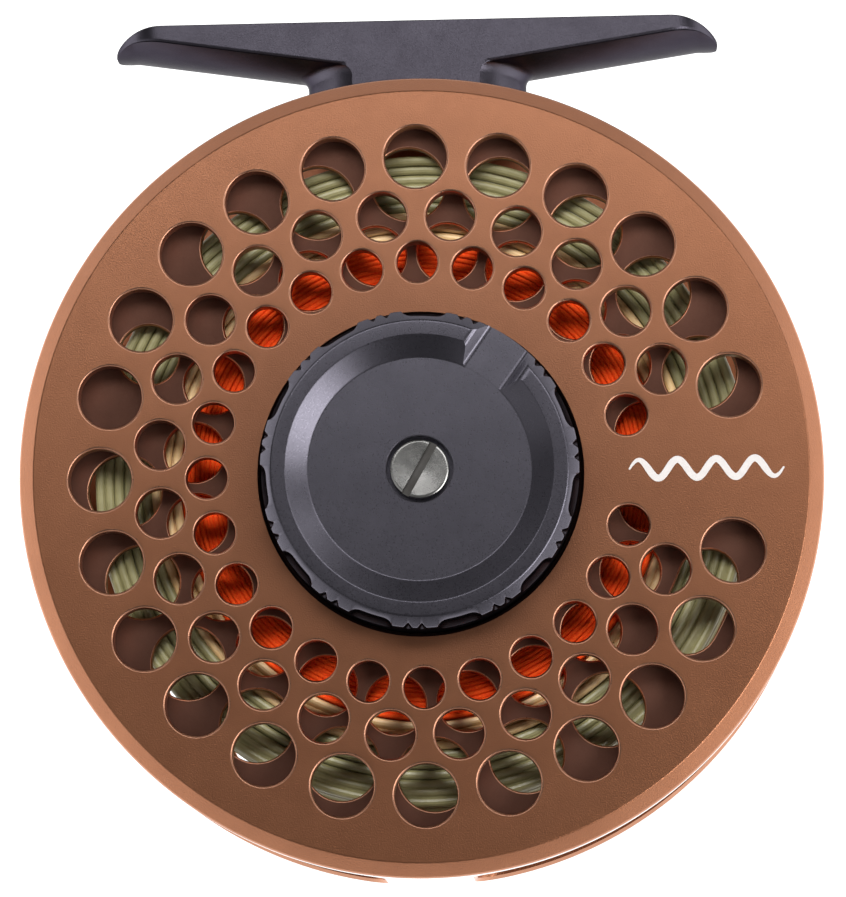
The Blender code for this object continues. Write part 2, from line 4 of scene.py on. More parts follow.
import bmesh
import bpy
import numpy as np
from mathutils import Matrix, Vector
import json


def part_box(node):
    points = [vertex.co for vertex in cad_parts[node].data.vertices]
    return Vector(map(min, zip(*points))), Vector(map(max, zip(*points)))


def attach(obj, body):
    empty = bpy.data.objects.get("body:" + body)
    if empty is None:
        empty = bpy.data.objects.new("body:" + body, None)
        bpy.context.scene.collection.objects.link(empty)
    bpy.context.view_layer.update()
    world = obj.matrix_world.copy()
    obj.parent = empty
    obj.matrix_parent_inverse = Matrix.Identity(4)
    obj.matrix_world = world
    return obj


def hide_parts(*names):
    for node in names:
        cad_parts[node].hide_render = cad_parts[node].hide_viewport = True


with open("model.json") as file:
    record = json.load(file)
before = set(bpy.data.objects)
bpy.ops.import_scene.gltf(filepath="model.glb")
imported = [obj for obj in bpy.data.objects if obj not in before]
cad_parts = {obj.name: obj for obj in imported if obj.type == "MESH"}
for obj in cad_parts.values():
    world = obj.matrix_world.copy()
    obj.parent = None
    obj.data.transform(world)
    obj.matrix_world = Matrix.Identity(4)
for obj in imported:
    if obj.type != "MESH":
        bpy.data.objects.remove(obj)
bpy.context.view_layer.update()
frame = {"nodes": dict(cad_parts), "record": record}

# Lengths are millimetres in the reel frame: local z runs along the spindle towards the drag
# knob, and local x and y are world X and Z, measured from the spindle axis.
MM = 0.001
JOINTS = {joint["name"]: joint for joint in frame["record"]["behaviour"]["joints"]}
AXIS_Z = JOINTS["shaft_spin"]["pos_m"][2]
REEL = (Matrix.Translation((0, 0, AXIS_Z)) @ Matrix.Rotation(math.pi / 2, 4, "X")
        @ Matrix.Scale(MM, 4))
FOOT = Matrix.Scale(MM, 4)
FRAME_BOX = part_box("frame")
REEL_R = FRAME_BOX[1][0] / MM
FACE_H = -FRAME_BOX[0][1] / MM
RING_LOW = -FRAME_BOX[1][1] / MM
PLATE_T = 2.2
CAGE_R = 38.9
CUP_R = 17.2
KNOB_HOLE_R = 16.5
RIM_LOW = 9.8
RING_TOP = -7.0
SPOOL_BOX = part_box("spool")
SPOOL_TOP = -SPOOL_BOX[0][1] / MM
PALM_LOW = -SPOOL_BOX[1][1] / MM
SPOOL_R = 38.4
FLANGE_T = 1.4
OUTER_TOP = -9.5
OUTER_LOW = -11.0
ARBOR_R = 19.0
ARBOR_BORE_R = 17.6
HANDLE_X = JOINTS["handle_spin"]["pos_m"][0] / MM
HANDLE_Y = (JOINTS["handle_spin"]["pos_m"][2] - AXIS_Z) / MM
HANDLE_ANGLE = math.degrees(math.atan2(HANDLE_Y, HANDLE_X))
HANDLE_R = math.hypot(HANDLE_X, HANDLE_Y)
KNOB_TOP = -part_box("drag_knob")[0][1] / MM
KNOB_FLOOR = KNOB_TOP - 0.95
KNOB_LOW = 11.7
KNOB_R = 16.2
KNOB_LAND_R = 15.0
POINTER_ANGLE = 54.7
KNOB_GROUPS = 11

# The plate's rings of ports: ring radius, port radius, first angle, number, sides of a port.
PLATE_PORTS = ((32.84, 3.2, 15.0, 23, 44), (26.87, 2.5, 22.5, 22, 40), (21.89, 2.07, 15.0, 23, 36))
PLATE_PORT_STEP = 15.0

# The spool's rings of ports: ring radius, port radius, first angle.
OUTER_PORT = (30.6, 3.75, 1.6)
INNER_PORT = (23.55, 3.05, 10.6)
SPOOL_PORTS = 20
SPOOL_PORT_STEP = 360.0 / SPOOL_PORTS

# Faces that meet at less than this angle, in degrees, are shaded as one surface.
SMOOTH_ANGLE = 28.0

# A fill light reaches only the line down in its ports and the printed mark.
FILL_LIT = bpy.data.collections.new("fill_lit")


# Materials.

# A noise texture's values mostly lie between these two.
NOISE_LOW = 0.3
NOISE_HIGH = 0.7


def new_material(name):
    material = bpy.data.materials.new(name)
    material.use_nodes = True
    tree = material.node_tree
    return material, tree, tree.nodes["Principled BSDF"]


def noise(tree, scale, detail, roughness):
    coords = tree.nodes.new("ShaderNodeTexCoord")
    texture = tree.nodes.new("ShaderNodeTexNoise")
    texture.inputs["Scale"].default_value = scale
    texture.inputs["Detail"].default_value = detail
    texture.inputs["Roughness"].default_value = roughness
    tree.links.new(coords.outputs["Object"], texture.inputs["Vector"])
    return texture


def ramp(tree, source, low, high):
    """A colour between low and high, by the noise."""
    node = tree.nodes.new("ShaderNodeValToRGB")
    node.color_ramp.elements[0].position = NOISE_LOW
    node.color_ramp.elements[0].color = (*low, 1)
    node.color_ramp.elements[1].position = NOISE_HIGH
    node.color_ramp.elements[1].color = (*high, 1)
    tree.links.new(source.outputs["Fac"], node.inputs["Fac"])
    return node


def vary(tree, source, low, high):
    """A number between low and high, by the noise."""
    node = tree.nodes.new("ShaderNodeMapRange")
    node.inputs["From Min"].default_value = NOISE_LOW
    node.inputs["From Max"].default_value = NOISE_HIGH
    node.inputs["To Min"].default_value = low
    node.inputs["To Max"].default_value = high
    tree.links.new(source.outputs["Fac"], node.inputs["Value"])
    return node


def bump(tree, source, strength, distance):
    node = tree.nodes.new("ShaderNodeBump")
    node.inputs["Strength"].default_value = strength
    node.inputs["Distance"].default_value = distance
    tree.links.new(source.outputs["Fac"], node.inputs["Height"])
    return node


def connect(tree, shader, colour, roughness, normal):
    tree.links.new(colour, shader.inputs["Base Color"])
    tree.links.new(roughness.outputs["Result"], shader.inputs["Roughness"])
    tree.links.new(normal.outputs["Normal"], shader.inputs["Normal"])


def paint_knob_shade_and_rim_light(tree, colour, inner, outer):
    """Painted shade and light: scale a colour by inner round the knob, standing in for the knob's
    shade on the plate, rising to outer at the reel's rim as painted light.
    """
    coords = tree.nodes.new("ShaderNodeTexCoord")
    flat = tree.nodes.new("ShaderNodeMapping")
    flat.inputs["Location"].default_value = (0.0, 0.0, -AXIS_Z)
    flat.inputs["Scale"].default_value = (1.0, 0.0, 1.0)
    distance = tree.nodes.new("ShaderNodeVectorMath")
    distance.operation = "LENGTH"
    level = tree.nodes.new("ShaderNodeMapRange")
    level.inputs["From Min"].default_value = 0.017
    level.inputs["From Max"].default_value = 0.039
    level.inputs["To Min"].default_value = inner
    level.inputs["To Max"].default_value = outer
    scaled = tree.nodes.new("ShaderNodeVectorMath")
    scaled.operation = "SCALE"
    tree.links.new(coords.outputs["Object"], flat.inputs["Vector"])
    tree.links.new(flat.outputs["Vector"], distance.inputs[0])
    tree.links.new(distance.outputs["Value"], level.inputs["Value"])
    tree.links.new(colour.outputs["Color"], scaled.inputs[0])
    tree.links.new(level.outputs["Result"], scaled.inputs["Scale"])
    return scaled.outputs["Vector"]


def blasted_metal(name, low, high, rough, grain=0.25, film=0.0, film_rough=0.35,
                  grazing=1.0, painted_shade_factors=None):
    """Anodised metal with a fine blasted grain, a faint mottle and a clear sealed film.

    grazing is the tint at grazing angles, and the last argument gives the two factors of the
    painted shade round the knob and the painted light at the rim.
    """
    material, tree, shader = new_material(name)
    mottle = noise(tree, 260.0, 4.0, 0.6)
    colour = ramp(tree, mottle, low, high)
    shaded = paint_knob_shade_and_rim_light(tree, colour, *painted_shade_factors) if painted_shade_factors else colour.outputs["Color"]
    fine = noise(tree, 6500.0, 2.0, 0.6)
    roughness = vary(tree, fine, rough - 0.04, rough + 0.04)
    connect(tree, shader, shaded, roughness, bump(tree, fine, grain, 0.00003))
    shader.inputs["Metallic"].default_value = 1.0
    shader.inputs["Coat Weight"].default_value = film
    shader.inputs["Coat Roughness"].default_value = film_rough
    shader.inputs["Specular Tint"].default_value = (grazing, grazing, grazing, 1.0)
    return material


def turned_metal(name, low, high, rough, centre=(0.0, 0.0), rings=0.12, ring_scale=2200.0):
    """Lathe-turned metal: fine rings about an axis along Y."""
    material, tree, shader = new_material(name)
    mottle = noise(tree, 400.0, 3.0, 0.6)
    colour = ramp(tree, mottle, low, high)
    coords = tree.nodes.new("ShaderNodeTexCoord")
    mapping = tree.nodes.new("ShaderNodeMapping")
    mapping.inputs["Location"].default_value = (-centre[0], 0.0, -centre[1])
    wave = tree.nodes.new("ShaderNodeTexWave")
    wave.wave_type = "RINGS"
    wave.rings_direction = "Y"
    wave.inputs["Scale"].default_value = ring_scale
    wave.inputs["Distortion"].default_value = 1.5
    wave.inputs["Detail"].default_value = 2.0
    tree.links.new(coords.outputs["Object"], mapping.inputs["Vector"])
    tree.links.new(mapping.outputs["Vector"], wave.inputs["Vector"])
    roughness = vary(tree, mottle, rough - 0.05, rough + 0.05)
    connect(tree, shader, colour.outputs["Color"], roughness, bump(tree, wave, rings, 0.00001))
    shader.inputs["Metallic"].default_value = 1.0
    return material


def plain(name, low, high, rough, scale=1500.0, grain=0.2, depth=0.00003, specular=0.5):
    """Paint, fibre or rubber with a fine mottle."""
    material, tree, shader = new_material(name)
    source = noise(tree, scale, 3.0, 0.6)
    colour = ramp(tree, source, low, high)
    roughness = vary(tree, source, rough - 0.06, rough + 0.06)
    connect(tree, shader, colour.outputs["Color"], roughness, bump(tree, source, grain, depth))
    shader.inputs["Specular IOR Level"].default_value = specular
    return material


def coated_line(name, low, high, rough):
    """Waxy coated line, with soft patches of tint and a little light inside it."""
    material, tree, shader = new_material(name)
    patches = noise(tree, 320.0, 3.0, 0.6)
    colour = ramp(tree, patches, low, high)
    fine = noise(tree, 4000.0, 2.0, 0.5)
    roughness = vary(tree, fine, rough - 0.05, rough + 0.08)
    connect(tree, shader, colour.outputs["Color"], roughness, bump(tree, fine, 0.15, 0.00003))
    shader.inputs["Subsurface Weight"].default_value = 0.12
    shader.inputs["Subsurface Radius"].default_value = (0.0004, 0.0004, 0.0002)
    return material


# Painted shade and light: the plate's copper is darkened round the knob, where the knob shades it,
# and lightened towards the rim.
COPPER = blasted_metal(
    "copper_anodised", (0.475, 0.178, 0.077), (0.525, 0.202, 0.090), 0.37, 0.9, 1.0,
    painted_shade_factors=(0.84, 1.06))
# Lighter copper for chamfers and port rims: partly the bare cut metal, partly a painted highlight.
COPPER_CUT_EDGE_AND_HIGHLIGHT = blasted_metal(
    "copper_cut_edge_and_highlight", (0.60, 0.29, 0.18), (0.66, 0.33, 0.21), 0.30, 0.08)
COPPER_SIDE = blasted_metal(
    "copper_turned_side", (0.475, 0.180, 0.085), (0.525, 0.205, 0.098), 0.30, 0.03, 1.0, 0.06)
# Painted shade: a near-black copy of the copper for the bore round the knob, where shade falls.
COPPER_BORE_PAINTED_SHADE = blasted_metal(
    "copper_bore_painted_shade", (0.060, 0.030, 0.026), (0.080, 0.040, 0.034), 0.5)
# Painted shade: a darker copy of the copper for the spool's faces behind the plate, which lie in
# its shadow.
SPOOL_COPPER_PAINTED_SHADE = blasted_metal(
    "copper_spool_painted_shade", (0.205, 0.098, 0.070), (0.245, 0.116, 0.082), 0.52)
GUNMETAL = blasted_metal(
    "gunmetal_anodised", (0.155, 0.147, 0.177), (0.180, 0.170, 0.205), 0.30, 0.1)
# Painted light: a lighter copy of the gunmetal for the knob's dished floor.
GUNMETAL_DISH_PAINTED_LIGHT = blasted_metal(
    "gunmetal_knob_dish_painted_light", (0.188, 0.179, 0.215), (0.216, 0.205, 0.247), 0.30, 0.1)
# Painted shade: a much darker copy of the gunmetal for the knob's side and scallops, in the shade
# between knob and plate.
GUNMETAL_SIDE_PAINTED_SHADE = blasted_metal(
    "gunmetal_knob_side_painted_shade", (0.050, 0.047, 0.056), (0.068, 0.064, 0.077), 0.36, 0.12, grazing=0.2)
# Painted shade: a darker copy of the gunmetal for the foot, whose faces look away from the light.
GUNMETAL_FOOT_PAINTED_SHADE = blasted_metal(
    "gunmetal_foot_painted_shade", (0.092, 0.084, 0.106), (0.116, 0.107, 0.134), 0.34, 0.5, grazing=0.35)
GUNMETAL_EDGE = blasted_metal(
    "gunmetal_cut_edge", (0.30, 0.285, 0.33), (0.36, 0.34, 0.39), 0.26, 0.05)
STEEL = turned_metal("stainless_steel", (0.55, 0.54, 0.52), (0.66, 0.65, 0.63), 0.24,
                     (0.0, AXIS_Z), 0.25, 3000.0)
ALUMINIUM = turned_metal("plain_aluminium", (0.62, 0.62, 0.63), (0.70, 0.70, 0.71), 0.35,
                         (0.0, AXIS_Z))
BRONZE = turned_metal("bronze", (0.50, 0.33, 0.13), (0.60, 0.42, 0.18), 0.30, (0.0, AXIS_Z))
CARBON = plain("carbon_fibre", (0.012, 0.012, 0.013), (0.05, 0.05, 0.055), 0.5)
RUBBER = plain("seal_rubber", (0.012, 0.012, 0.012), (0.025, 0.025, 0.025), 0.7)
# Painted shade: a darker copy of the steel for the inside of the screw's slot.
STEEL_SLOT_PAINTED_SHADE = turned_metal("stainless_slot_painted_shade", (0.16, 0.15, 0.14), (0.22, 0.21, 0.20), 0.4,
                          (0.0, AXIS_Z))
GREEN = coated_line("green_fly_line", (0.200, 0.180, 0.078), (0.305, 0.280, 0.135), 0.42)
TAN = coated_line("tan_running_line", (0.66, 0.42, 0.18), (0.86, 0.62, 0.33), 0.45)
ORANGE = plain("orange_backing", (0.75, 0.038, 0.003), (0.92, 0.110, 0.010), 0.75, 5200.0,
               0.7, 0.00006, 0.15)
WHITE_MARK = plain("off_white_print", (0.50, 0.47, 0.455), (0.56, 0.525, 0.505), 0.5)
SLOT_MATERIALS = {
    "copper_anodised": COPPER, "gunmetal_anodised": GUNMETAL, "stainless_steel": STEEL,
    "plain_aluminium": ALUMINIUM, "bronze": BRONZE, "carbon_fibre": CARBON,
    "seal_rubber": RUBBER, "green_fly_line": GREEN, "tan_running_line": TAN,
    "orange_backing": ORANGE,
}


# Mesh building.  A profile is a list of (radius, height, slot) points, where slot is the
# material index of the strip that leads to the next point.

def ring(bm, radius, height, count, centre=(0.0, 0.0)):
    """A ring of vertices; the radius may be a function of the angle in degrees."""
    verts = []
    for index in range(count):
        angle = 360.0 * index / count
        r = radius(angle) if callable(radius) else radius
        turn = math.radians(angle)
        verts.append(bm.verts.new((centre[0] + r * math.cos(turn),
                                   centre[1] + r * math.sin(turn), height)))
    return verts


def loop(bm, points, height):
    """Vertices at flat points, all at one height."""
    return [bm.verts.new((x, y, height)) for x, y in points]


def strip(bm, first, second, slot=0):
    """Faces between two closed rows of vertices."""
    for index in range(len(first)):
        after = (index + 1) % len(first)
        face = bm.faces.new((first[index], first[after], second[after], second[index]))
        face.material_index = slot


def strips(bm, rings, slots):
    """Faces from each row to the next, with a material slot for each strip."""
    for first, second, slot in zip(rings, rings[1:], slots):
        strip(bm, first, second, slot)


def lathe(bm, profile, count=96, centre=(0.0, 0.0)):
    """Turn a profile; it closes on itself, or on the axis where it starts and ends there."""
    rings = []
    for radius, height, _ in profile:
        if not callable(radius) and radius <= 0.0:
            rings.append([bm.verts.new((centre[0], centre[1], height))])
        else:
            rings.append(ring(bm, radius, height, count, centre))
    slots = [slot for _, _, slot in profile]
    pairs = list(zip(rings, rings[1:], slots))
    if len(rings[0]) > 1:
        pairs.append((rings[-1], rings[0], slots[-1]))
    for first, second, slot in pairs:
        if len(first) > 1 and len(second) > 1:
            strip(bm, first, second, slot)
        elif len(first) > 1 or len(second) > 1:
            around, tip = (first, second[0]) if len(first) > 1 else (second, first[0])
            for index in range(len(around)):
                after = (index + 1) % len(around)
                bm.faces.new((around[index], around[after], tip)).material_index = slot


def rounded(points, radius, slot=0, edge=1):
    """Profile from corner points, each corner cut by a small arc that gets the edge slot."""
    steps = 2
    profile = []
    last = len(points) - 1
    for index, (r, h) in enumerate(points):
        here = Vector((r, h))
        if index in (0, last) and points[0][0] <= 0.0:
            profile.append((r, h, slot))
            continue
        before = Vector(points[index - 1])
        after = Vector(points[(index + 1) % len(points)])
        back = before - here
        ahead = after - here
        cut = min(radius, 0.45 * back.length, 0.45 * ahead.length)
        start = here + back.normalized() * cut
        end = here + ahead.normalized() * cut
        for step in range(steps + 1):
            t = step / steps
            place = start.lerp(here, t).lerp(here.lerp(end, t), t)
            profile.append((place.x, place.y, edge if step < steps else slot))
    return profile


def circle_port(x, y, radius, count):
    """A round port, as a function that gives its outline grown by a distance."""
    def outline(grow):
        return [(x + (radius + grow) * math.cos(2 * math.pi * index / count),
                 y + (radius + grow) * math.sin(2 * math.pi * index / count))
                for index in range(count)]
    return outline


def arc_port(middle_r, half_width, centre_angle, half_angle):
    """A curved slot with round ends, as a function that gives its outline grown by a distance."""
    side_steps = 24
    end_steps = 12

    def outline(grow):
        wide = half_width + grow
        points = []
        for side, first, last in ((1, -half_angle, half_angle), (-1, half_angle, -half_angle)):
            for index in range(side_steps + 1):
                angle = centre_angle + first + (last - first) * index / side_steps
                points.append(polar(middle_r + side * wide, angle))
            end_x, end_y = polar(middle_r, centre_angle + last)
            facing = centre_angle + last + (0 if side > 0 else 180)
            for index in range(1, end_steps):
                turn = math.radians(facing + 180.0 / end_steps * index)
                points.append((end_x + wide * math.cos(turn), end_y + wide * math.sin(turn)))
        return points
    return outline


def ported_disc(bm, outer, inner, ports, count=240, soft=0.2, wall=0):
    """A flat plate with ports, between an outer and an inner turned boundary.

    The ports' rims are rounded by soft and get slot 1. Their walls and the flats get slot wall.
    """
    arc_steps = 5
    arc = [(soft * (1 - math.sin(turn)), soft * (1 - math.cos(turn)))
           for turn in np.radians(np.linspace(0.0, 90.0, arc_steps + 1))]
    top = outer[0][1]
    low = outer[-1][1]
    outer_rings = [ring(bm, r, h, count) for r, h, _ in outer]
    inner_rings = [ring(bm, r, h, count) for r, h, _ in inner]
    strips(bm, outer_rings, [slot for _, _, slot in outer])
    strips(bm, inner_rings, [slot for _, _, slot in inner])
    tops = [outer_rings[0], inner_rings[0]]
    lows = [outer_rings[-1], inner_rings[-1]]
    for port in ports:
        rings = [loop(bm, port(grow), top - drop) for grow, drop in arc]
        rings += [loop(bm, port(grow), low + drop) for grow, drop in reversed(arc)]
        strips(bm, rings, [1] * arc_steps + [wall] + [1] * arc_steps)
        tops.append(rings[0])
        lows.append(rings[-1])
    for loops, side in ((tops, 1.0), (lows, -1.0)):
        edges = []
        for verts in loops:
            edges += [bm.edges.get((verts[i], verts[(i + 1) % len(verts)]))
                      for i in range(len(verts))]
        filled = bmesh.ops.triangle_fill(bm, use_beauty=True, edges=edges, normal=(0.0, 0.0, side))
        for face in filled["geom"]:
            if isinstance(face, bmesh.types.BMFace):
                face.material_index = wall


def polar(radius, angle):
    """The point at this radius and angle in degrees."""
    turn = math.radians(angle)
    return radius * math.cos(turn), radius * math.sin(turn)


def finish_mesh(name, bm, matrix, materials, sharp=SMOOTH_ANGLE):
    """Turn the mesh being built into an object, placed by the matrix."""
    bmesh.ops.recalc_face_normals(bm, faces=bm.faces)
    bm.transform(matrix)
    mesh = bpy.data.meshes.new(name)
    bm.to_mesh(mesh)
    bm.free()
    for material in materials:
        mesh.materials.append(material)
    mesh.shade_smooth()
    mesh.set_sharp_from_angle(angle=math.radians(sharp))
    obj = bpy.data.objects.new(name, mesh)
    bpy.context.scene.collection.objects.link(obj)
    return obj


def bake(obj):
    """Swap the mesh for what its modifiers make of it, and drop them."""
    evaluated = obj.evaluated_get(bpy.context.evaluated_depsgraph_get())
    mesh = bpy.data.meshes.new_from_object(evaluated)
    obj.modifiers.clear()
    old = obj.data
    obj.data = mesh
    mesh.name = old.name
    bpy.data.meshes.remove(old)


def even_normals(obj):
    """Shade each corner by the faces round it, weighted by area, so wide flat faces stay flat."""
    limit = math.cos(math.radians(SMOOTH_ANGLE))
    tiny = 1e-6
    mesh = obj.data
    owner = np.empty(len(mesh.loops), dtype=np.int64)
    mesh.loops.foreach_get("vertex_index", owner)
    sizes = np.empty(len(mesh.polygons), dtype=np.int64)
    mesh.polygons.foreach_get("loop_total", sizes)
    normals = np.empty(len(sizes) * 3)
    mesh.polygons.foreach_get("normal", normals)
    areas = np.empty(len(sizes))
    mesh.polygons.foreach_get("area", areas)
    faces = np.repeat(np.arange(len(sizes)), sizes)
    order = np.argsort(owner, kind="stable")
    owner = owner[order]
    around = normals.reshape(-1, 3)[faces][order]
    pull = around * areas[faces][order][:, None] / MM ** 2
    total = pull + around * tiny
    shift = 1
    while True:
        same = owner[shift:] == owner[:-shift]
        if not same.any():
            break
        near = same & ((around[shift:] * around[:-shift]).sum(1) > limit)
        total[shift:][near] += pull[:-shift][near]
        total[:-shift][near] += pull[shift:][near]
        shift += 1
    total /= np.linalg.norm(total, axis=1)[:, None]
    result = np.empty_like(total)
    result[order] = total
    mesh.normals_split_custom_set(result.tolist())


def ride(obj, body, slot, *nodes):
    """Finish a piece: its body and the CAD nodes that it stands for; slot is not used."""
    even_normals(obj)
    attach(obj, body)
    if nodes:
        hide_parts(*nodes)
    return obj


def cut(obj, cutter):
    """Cut one object out of another, and drop the cutter."""
    modifier = obj.modifiers.new("cut", "BOOLEAN")
    modifier.operation = "DIFFERENCE"
    modifier.solver = "EXACT"
    modifier.object = cutter
    bake(obj)
    bpy.data.objects.remove(cutter, do_unlink=True)


# The frame.

# The cage's windows lie between these angles.
WINDOWS = ((6.8, 73.0), (107.0, 173.2), (186.8, 263.2), (276.8, 353.2))
WINDOW_CORNER_R = 2.2


def window_levels(bm, start, end, low, high, corner, levels):
    """A closed cutter for one cage window, one outline for each (radius, grow) level."""
    rows = []
    count = 48
    for radius, grow in levels:
        first = start - math.degrees(grow / radius)
        last = end + math.degrees(grow / radius)
        bottom = low - grow
        top = high + grow
        round_r = corner + grow
        lower, upper = [], []
        for index in range(count + 1):
            t = 0.5 - 0.5 * math.cos(math.pi * (index / count))
            angle = first + (last - first) * t
            from_end = min(angle - first, last - angle) * math.pi / 180.0 * radius
            inset = 0.0
            if from_end < round_r:
                inset = round_r - math.sqrt(max(round_r ** 2 - (round_r - from_end) ** 2, 0.0))
            x, y = polar(radius, angle)
            lower.append(bm.verts.new((x, y, bottom + inset)))
            upper.append(bm.verts.new((x, y, top - inset)))
        rows.append((lower, upper))
    for index, ((low_a, up_a), (low_b, up_b)) in enumerate(zip(rows, rows[1:])):
        slot = 1 if levels[index][1] != levels[index + 1][1] else 0
        for i in range(count):
            bm.faces.new((low_a[i], low_a[i + 1], low_b[i + 1], low_b[i])).material_index = slot
            bm.faces.new((up_a[i], up_a[i + 1], up_b[i + 1], up_b[i])).material_index = slot
        for i in (0, count):
            bm.faces.new((low_a[i], up_a[i], up_b[i], low_b[i])).material_index = slot
    for lower, upper in (rows[0], rows[-1]):
        for i in range(count):
            bm.faces.new((lower[i], lower[i + 1], upper[i + 1], upper[i]))


def make_frame():
    """Ported plate, cage and housing in one piece, with the cage's windows cut through."""
    bm = bmesh.new()
    plate_low = FACE_H - PLATE_T
    outer = [
        (39.60, FACE_H, 0), (39.70, FACE_H - 0.02, 0), (39.80, FACE_H - 0.07, 0),
        (41.08, 12.93, 1), (41.19, 12.82, 1), (REEL_R, 12.66, 2),
        (REEL_R, RING_LOW + 0.25, 1), (REEL_R - 0.25, RING_LOW, 0), (CAGE_R + 0.2, RING_LOW, 1),
        (CAGE_R, RING_LOW + 0.2, 0), (CAGE_R, plate_low, 0)]
    # Slot 3, the near-black copper, is painted shade in the bore round the knob.
    inner = [
        (KNOB_HOLE_R + 0.22, FACE_H, 3), (KNOB_HOLE_R, FACE_H - 0.22, 3), (KNOB_HOLE_R, 11.4, 3),
        (16.2, 11.4, 3), (16.2, 9.2, 0), (14.9, 9.2, 0), (14.9, -1.0, 0), (8.4, -1.0, 0),
        (8.4, 0.2, 0), (6.8, 0.2, 0), (6.8, -2.6, 0), (4.4, -2.6, 0), (4.4, -3.2, 1),
        (4.6, -3.4, 0), (CUP_R - 0.3, -3.4, 1), (CUP_R, -3.1, 0), (CUP_R, plate_low, 0)]
    ports = []
    for ring_r, port_r, first, number, sides in PLATE_PORTS:
        for index in range(number):
            place = polar(ring_r, first + PLATE_PORT_STEP * index)
            ports.append(circle_port(*place, port_r, sides))
    ported_disc(bm, outer, inner, ports, soft=0.27)
    body = finish_mesh("frame_shell", bm, REEL, [COPPER, COPPER_CUT_EDGE_AND_HIGHLIGHT, COPPER_SIDE, COPPER_BORE_PAINTED_SHADE])

    cutters = bmesh.new()
    for start, end in WINDOWS:
        window_levels(cutters, start, end, RING_TOP, RIM_LOW, WINDOW_CORNER_R,
                      ((CAGE_R - 3.0, 0.5), (CAGE_R - 0.05, 0.5), (CAGE_R + 0.35, 0.0),
                       (REEL_R - 0.35, 0.0), (REEL_R + 0.15, 0.5), (REEL_R + 2.0, 0.5)))
    cut(body, finish_mesh("window_cutter", cutters, REEL, [COPPER, COPPER_CUT_EDGE_AND_HIGHLIGHT]))
    return ride(body, "reel_frame", "copper_anodised", "frame")


def make_mark():
    """A plain wave line with tapered ends, printed where the ports leave room."""
    bm = bmesh.new()
    start, end, height = 21.3, 37.1, 0.95
    periods = 4.0
    steps = 120
    half, end_share, widening = 0.36, 0.25, 6.0
    left, right = [], []
    for index in range(steps + 1):
        t = index / steps
        x = start + (end - start) * t
        phase = 2 * math.pi * periods * t
        y = height * math.sin(phase)
        slope = height * math.cos(phase) * 2 * math.pi * periods / (end - start)
        length = math.hypot(1.0, slope)
        wide = half * min(1.0, end_share + widening * min(t, 1.0 - t))
        left.append((x - slope / length * wide, y + wide / length))
        right.append((x + slope / length * wide, y - wide / length))
    outline = left + right[::-1]
    top = loop(bm, outline, FACE_H + 0.03)
    low = loop(bm, outline, FACE_H - 0.05)
    strip(bm, top, low)
    for i in range(steps):
        j = len(outline) - 1 - i
        bm.faces.new((top[i], top[i + 1], top[j - 1], top[j]))
        bm.faces.new((low[i], low[i + 1], low[j - 1], low[j]))
    mark = finish_mesh("printed_wave", bm, REEL, [WHITE_MARK])
    FILL_LIT.objects.link(mark)
    return ride(mark, "reel_frame", "copper_anodised")


# The foot, in world axes with its saddle at the origin.

FOOT_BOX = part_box("foot")
FOOT_HALF = FOOT_BOX[1][0] / MM
FOOT_WIDE = FOOT_BOX[1][1] / MM
SADDLE_R = 12.5
UNDER_R = 23.0
UNDER_Z = -3.7
UNDER_Z_AT_TIP = -0.3
WING_CLIMB = math.tan(math.radians(8.4))
TIP_LENGTH = 5.25
TIP_POWER = 2.2
PEDESTAL_FLAT = 6.6
PEDESTAL_HALF = 11.5
FILLET = 1.2
WING_START = 13.4


def saddle_height(y):
    return SADDLE_R - math.sqrt(SADDLE_R ** 2 - y ** 2)


def wing_underside(x, y):
    """The underside curves across the foot and climbs from the pedestal towards the tips."""
    centre = UNDER_Z + max(0.0, abs(x) - PEDESTAL_FLAT) * WING_CLIMB
    return min(centre, UNDER_Z_AT_TIP) + UNDER_R - math.sqrt(UNDER_R ** 2 - y ** 2)


def pedestal_reach(y):
    """How far the pedestal's rounded end comes out at this width."""
    bulge = PEDESTAL_HALF - PEDESTAL_FLAT
    arc_r = (FOOT_WIDE ** 2 + bulge ** 2) / (2 * bulge)
    return PEDESTAL_HALF - arc_r + math.sqrt(arc_r ** 2 - y ** 2)


def pedestal_profile(y):
    """From wing to wing along the underside: fillet, pedestal end, its seat on the frame."""
    reach = pedestal_reach(y)
    start = reach + FILLET
    side = [(x, wing_underside(x, y)) for x in np.linspace(WING_START, start, 4)]
    top = wing_underside(start, y)
    fillet_steps = 8
    for step in range(1, fillet_steps + 1):
        turn = math.pi / 2 * step / fillet_steps
        side.append((start - FILLET * math.sin(turn), top - FILLET * (1 - math.cos(turn))))
    frame_z = AXIS_Z / MM - 0.03
    side.append((reach, frame_z + math.sqrt(REEL_R ** 2 - reach ** 2)))
    seat = [(x, frame_z + math.sqrt(REEL_R ** 2 - x ** 2)) for x in np.linspace(reach, 0.0, 7)[1:]]
    right = side + seat
    return right + [(-x, z) for x, z in reversed(right[:-1])]


